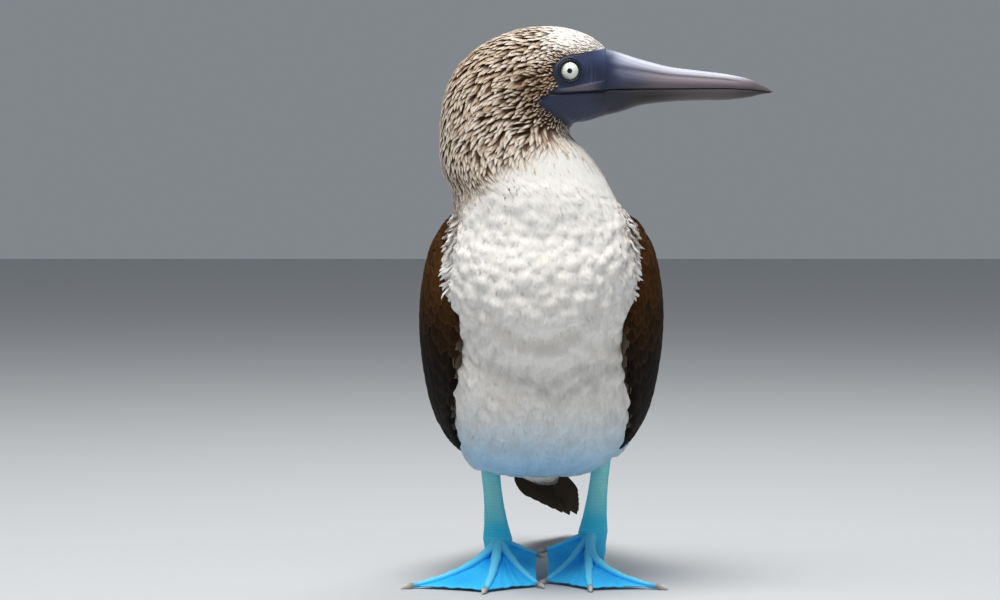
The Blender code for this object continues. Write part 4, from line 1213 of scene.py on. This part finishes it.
def upper_paint(u, v, p):
    x, ridge, mouth, _, _ = bill_row(v)
    level = (p[:, 2] - mouth) / np.maximum(ridge - mouth, 0.5)
    # Painted highlight: a pale reflection runs along the ridge of the bill
    ridge_highlight = fade(level, 0.55, 0.9) * fade(x, 36, 50) * (1 - fade(x, 112, 130))
    streak = sine(level * 55 + 2.0 * np.sin(x * 0.12) + 4 * np.sin(x * 0.031))
    # The horn starts at a slanting edge and is dark along the mouth for another stretch
    colour = layered(
        HORN_BLUE,
        (HORN_GREY, fade(x, 44, 76)),
        (HORN_DARK, 0.45 * (1 - fade(level, 0.05, 0.5)) + 0.5 * fade(x, 112, 134)),
        (RIDGE_HIGHLIGHT, 0.62 * ridge_highlight),
        # Painted shade in the groove below the ridge
        (SLATE_DARK, 0.45 * bell(level, 0.6, 0.06) * (1 - fade(x, 112, 126))),
        (SLATE_DARK, 0.6 * (1 - fade(level, 0.1, 0.55)) * (1 - fade(x, 50, 72))))
    border = 34.5 + 9 * (1 - level) + 0.8 * np.sin(p[:, 2] * 0.9)
    # The painted shade of the hollow carries on over the root of the bill
    root = mix(root_tone(p[:, 2]), SLATE_DARK * 0.7, painted_hollow_shade(x, p[:, 2]))
    colour = mix(root, colour * (1 - 0.14 * streak)[:, None], fade(x - border, -1, 7))
    # Painted shade: the bill darkens towards its root, where it meets the face
    return colour * (0.74 + 0.26 * fade(x, 35, 47))[:, None]


def lower_paint(u, v, p):
    x, _, mouth, low, _ = bill_row(v * LOWER_REACH)
    level = (mouth - p[:, 2]) / np.maximum(mouth - low, 0.4)
    colour = layered(HORN_DARK * 0.8, (HORN_GREY * 0.5, fade(x, 60, 96)),
                     (HORN_DARK * 0.9, fade(x, 108, 128) * 0.6),
                     (HORN_GREY, 0.35 * (1 - fade(level, 0.05, 0.3))))
    streak = sine(level * 40 + 2.0 * np.sin(x * 0.1 + 1))
    return mix(root_tone(p[:, 2]), colour * (1 - 0.12 * streak)[:, None], fade(x, 38, 62))


grid_piece("upper_bill", 120, 260, lambda u, v: half_of_bill(u, v, True), upper_paint, bill_horn,
           replaces=("bill_upper",))
grid_piece("lower_bill", 100, 240, lambda u, v: half_of_bill(u, v, False), lower_paint, bill_horn,
           replaces=("bill_lower",))


# Legs and feet

def leg_lines(side):
    """Ankle and toe joint of a leg."""
    return np.array(LEGS[side]["ankle"], float), np.array(LEGS[side]["joint"], float)


def wrinkles(turn, share):
    """Fine uneven rings round the leg, from -1 to 1."""
    return (0.6 * np.sin(share * 150 + 1.4 * np.sin(turn + share * 11) + 0.7 * np.sin(turn * 3 + 1))
            + 0.4 * np.sin(share * 233 + 1.1 * np.sin(turn * 2 + share * 7)))


def leg_maker(side):
    ankle, joint = leg_lines(side)
    shares, radii = np.array(SHANK).T

    def place(u, v):
        share = v * 1.02
        centre = ankle[None, :] + (joint - ankle)[None, :] * share[:, None]
        radius = np.interp(share, shares, radii)
        turn = u * TAU
        radius = radius + 0.13 * wrinkles(turn, share) * fade(share, 0.0, 0.1)
        return ring(centre, radius, radius * 1.04, turn)

    def paint(u, v, p):
        turn = u * TAU
        # Painted highlight: the front of the shank, which faces the light, is paler straw, most on its upper
        # part
        front = fade(-np.sin(turn), 0.1, 0.9)
        colour = mix(TURQUOISE, STRAW_HIGHLIGHT, front * (0.7 - 0.5 * fade(v, 0.35, 0.9)))
        colour = mix(colour, mix(TURQUOISE, AZURE, 0.3), fade(v, 0.66, 0.88))
        rings = 0.5 + 0.5 * wrinkles(turn, v * 1.02)
        return mix(colour, colour * (0.6, 0.8, 0.85), 0.25 * (1 - rings))
    return place, paint


def toe_line(side, entry, s):
    """Centre and radius along a toe, as arrays over s."""
    out = 1 if side == "left" else -1
    joint = leg_lines(side)[1]
    x, y, bulge, high, thick, thin_end = entry
    tip = np.array([joint[0] + out * x, joint[1] + y, FLOOR + high + thin_end * 0.86])
    way = tip - joint
    across = np.array([-way[1], way[0], 0.0])
    across = across / np.linalg.norm(across) * -out
    s = np.asarray(s, float)[:, None]
    p = joint * (1 - s) + tip * s + across * bulge * np.linalg.norm(way) * 4 * s * (1 - s)
    radius = thick * (1 - s[:, 0]) + thin_end * s[:, 0]
    p[:, 2] = tip[2] + (joint[2] - tip[2]) * (1 - s[:, 0]) ** 1.35 + (radius - thin_end) * s[:, 0]
    return p, radius


def scutes(v):
    """Phase of the scutes along a toe."""
    return v * 150 + 0.8 * np.sin(v * 23)


def toe_maker(side, entry, joints):
    def place(u, v):
        centre, radius = toe_line(side, entry, v)
        e = 0.004
        before, after = (toe_line(side, entry, np.clip(v + step, 0, 1))[0] for step in (-e, e))
        ahead = unit(after - before)
        sideways = unit(np.cross(ahead, UP))
        up = np.cross(sideways, ahead)
        knuckle = sum(bell(v, at, 0.035) for at in joints)
        scute = 0.07 * np.sin(scutes(v)) * fade(np.sin(u * TAU), 0.1, 0.6)
        turn = u * TAU
        radius = radius * 0.74 + 0.4 * knuckle + scute
        # Rounded off where the claw comes out
        radius = radius * np.sqrt(np.maximum(1 - fade(v, 0.965, 1.0) ** 2 * 0.5, 0.02))
        p = centre + (radius * np.cos(turn))[:, None] * sideways + (radius * np.sin(turn))[:, None] * up
        p[:, 2] = np.maximum(p[:, 2], FLOOR + 0.02)
        return p

    def paint(u, v, p):
        ridge = fade(np.sin(u * TAU), 0.1, 0.8)
        colour = mix(AZURE, TOE_PALE, 0.75 * ridge)
        colour = mix(colour, colour * (0.6, 0.8, 0.9), 0.25 * (1 - sine(scutes(v))) * ridge)
        return mix(colour, TOE_GREY, 0.55 * fade(v, 0.93, 1.0))
    return place, paint


def veins(f, s, k):
    """Wave of the veins across a web, from -1 to 1."""
    return np.sin(f * 31 + 2.2 * np.sin(s * 5 + k))


def web_maker(side):
    entries = TOES[side]

    def middle(u, v):
        gaps = len(entries) - 1
        k = np.minimum((u * gaps).astype(int), gaps - 1)
        f = u * gaps - k
        s = 0.08 + v * 0.89
        # The edge of the web curves in between the toes
        reach = np.maximum(s - 0.03 * s * s * np.sin(np.pi * f), 0)
        lines = np.stack([toe_line(side, entry, reach)[0] for entry in entries])
        rows = np.arange(len(u))
        p = lines[k, rows] * (1 - f)[:, None] + lines[k + 1, rows] * f[:, None]
        sag = 1.8 * np.sin(np.pi * f) * (1 - s)
        ripple = 0.28 * veins(f, s, k) * np.sin(np.pi * f) * fade(s, 0.1, 0.4)
        fan = 0.2 * np.sin(f * 14 + k * 2) * fade(s, 0.3, 0.9) * np.sin(np.pi * f)
        p[:, 2] = np.maximum(p[:, 2] - sag, FLOOR + 1.7) + ripple + fan
        return p, f, s, k

    def place(u, v):
        top, along = folded(v)
        p = middle(u, along)[0]
        thick = 0.55 * (1 - 0.3 * fade(along, 0.9, 1.0))
        p[:, 2] = p[:, 2] - 0.6 + np.where(top, thick, -thick)
        return p

    def paint(u, v, p):
        top, along = folded(v)
        _, f, s, k = middle(u, along)
        deep = np.sin(np.pi * f) * sine(s * 9 + k * 2.1 + 3 * f) * (1 - fade(s, 0.75, 1.0))
        colour = mix(AZURE, COBALT, np.clip(deep * 0.75, 0, 1))
        vein = bell(veins(f, s, k), 0, 0.25) * 0.18
        colour = mix(colour, TOE_PALE, vein + 0.35 * fade(s, 0.93, 1.0))
        # Painted shade: the underside of the web is darker
        return mix(colour, colour * 0.8, (~top) * 0.5)
    return place, paint


def claw_maker(side, entry, long):
    line, radii = toe_line(side, entry, np.array([0.78, 1.0]))
    ahead = unit(line[1] - line[0])
    level = unit(np.array([ahead[0], ahead[1], 0.0]))
    start, r = line[1] - ahead * 0.8, radii[1]
    knee = start + ahead * (long * 0.25 + 1.1)
    path = np.array([start, knee, knee + level * long * 0.3 + (0, 0, 0.1),
                     knee + level * long * 0.57 - (0, 0, 0.5), knee + level * long * 0.75 - (0, 0, 1.1)])
    sizes = np.array([r * 0.8, r * 0.78, r * 0.62, r * 0.4, r * 0.12])

    def place(u, v):
        t = v * (len(path) - 1)
        centre, radius = curve(path, t), curve(sizes[:, None], t)[:, 0]
        sideways = unit(np.cross(level, UP))
        p = centre + (radius * 0.85 * np.cos(u * TAU))[:, None] * sideways
        p[:, 2] = np.maximum(p[:, 2] + radius * np.sin(u * TAU), FLOOR + 0.02)
        return p

    def paint(u, v, p):
        return mix(CLAW_PALE, CLAW_DARK, 0.7 * (1 - fade(v, 0.05, 0.5)) + 0.3 * fade(v, 0.8, 1.0))
    return place, paint


for side in LEGS:
    place, paint = leg_maker(side)
    grid_piece(f"shank_{side}", 72, 260, place, paint, leg_scales, replaces=(f"leg_{side}",))
    ankle, joint = leg_lines(side)
    # Rows of the pad: centre, half width and half depth
    x, y, z = joint
    pad_rows = np.array([
        (*(ankle * 0.2 + joint * 0.8), 6.6, 6.8), (*(ankle * 0.09 + joint * 0.91), 7.9, 8.1),
        (x, y, z, 9.0, 9.3), (x, y + 1, z * 0.4 + FLOOR * 0.6, 7.6, 8.2),
        (x, y + 1.5, FLOOR + 2.5, 6.0, 7.0), (x, y + 1.5, FLOOR + 0.02, 4.8, 5.6)])

    def pad_place(u, v, rows=pad_rows):
        row = curve(rows, v * (len(rows) - 1))
        wrinkle = 0.18 * np.sin(v * 60 + np.sin(u * TAU * 3)) * (1 - fade(v, 0.85, 1.0))
        return ring(row, row[:, 3] + wrinkle, row[:, 4] + wrinkle, u * TAU)

    def pad_paint(u, v, p):
        return mix(TURQUOISE, AZURE, 0.3 + 0.7 * fade(v, 0.25, 0.7))
    grid_piece(f"foot_pad_{side}", 60, 90, pad_place, pad_paint, leg_scales)
    place, paint = web_maker(side)
    grid_piece(f"web_{side}", 150, 160, place, paint, web_skin, replaces=(f"foot_{side}",))
    for n, entry in enumerate(TOES[side]):
        place, paint = toe_maker(side, entry, KNUCKLES[n])
        grid_piece(f"toe_{side}_{n + 1}", 28, 150, place, paint, web_skin)
        place, paint = claw_maker(side, entry, CLAW_LENGTH if n else HIND_CLAW)
        grid_piece(f"nail_{side}_{n + 1}", 20, 24, place, paint, claw_dull,
                   replaces=(f"claw_{side}_{n + 1}",))


# Floor, light and camera

def aim(at, towards):
    return (Vector(towards) - Vector(at)).to_track_quat("-Z", "Y").to_euler()


def area_light(name, at, towards, size, power, colour=(1, 1, 1)):
    light = bpy.data.lights.new(name, "AREA")
    light.shape, light.size, light.energy, light.color = "DISK", size, power, colour
    obj = in_scene(name, light)
    obj.location, obj.rotation_euler = at, aim(at, towards)


FLOOR_REACH = 6
bm = bmesh.new()
bmesh.ops.create_grid(bm, x_segments=1, y_segments=1, size=FLOOR_REACH)
floor_mesh = bpy.data.meshes.new("floor")
bm.to_mesh(floor_mesh)
bm.free()
floor = in_scene("floor", floor_mesh)
floor_mesh.materials.append(finish_material("pale studio floor", linear("bfc1c3"), roughness=0.7))

bpy.context.scene.view_settings.view_transform = "Standard"
world = bpy.data.worlds.new("studio")
bpy.context.scene.world = world
world.use_nodes = True
world.node_tree.nodes["Background"].inputs[0].default_value = (0.80, 0.86, 0.93, 1)
world.node_tree.nodes["Background"].inputs[1].default_value = 0.28
area_light("key", (-0.3, -0.7, 2.1), (0, 0, 0.2), 1.3, 54, (1.0, 0.985, 0.965))
area_light("back", (0.4, 0.8, 1.7), (0, 0, 0.22), 1.0, 10)
area_light("fill", (1.3, -1.9, 0.9), (0, 0, 0.2), 1.5, 3, (0.93, 0.97, 1.0))

# The photo's view: a long lens, a little above the bird
CAMERA_AT, CAMERA_AIM = (-29, -2200, 270), (-29, 0, 170)
camera = bpy.data.cameras.new("camera")
camera.lens, camera.sensor_width = 125.7, 36
camera_at = in_scene("camera", camera)
camera_at.location = placed(CAMERA_AT)
camera_at.rotation_euler = aim(placed(CAMERA_AT), placed(CAMERA_AIM))
bpy.context.scene.camera = camera_at
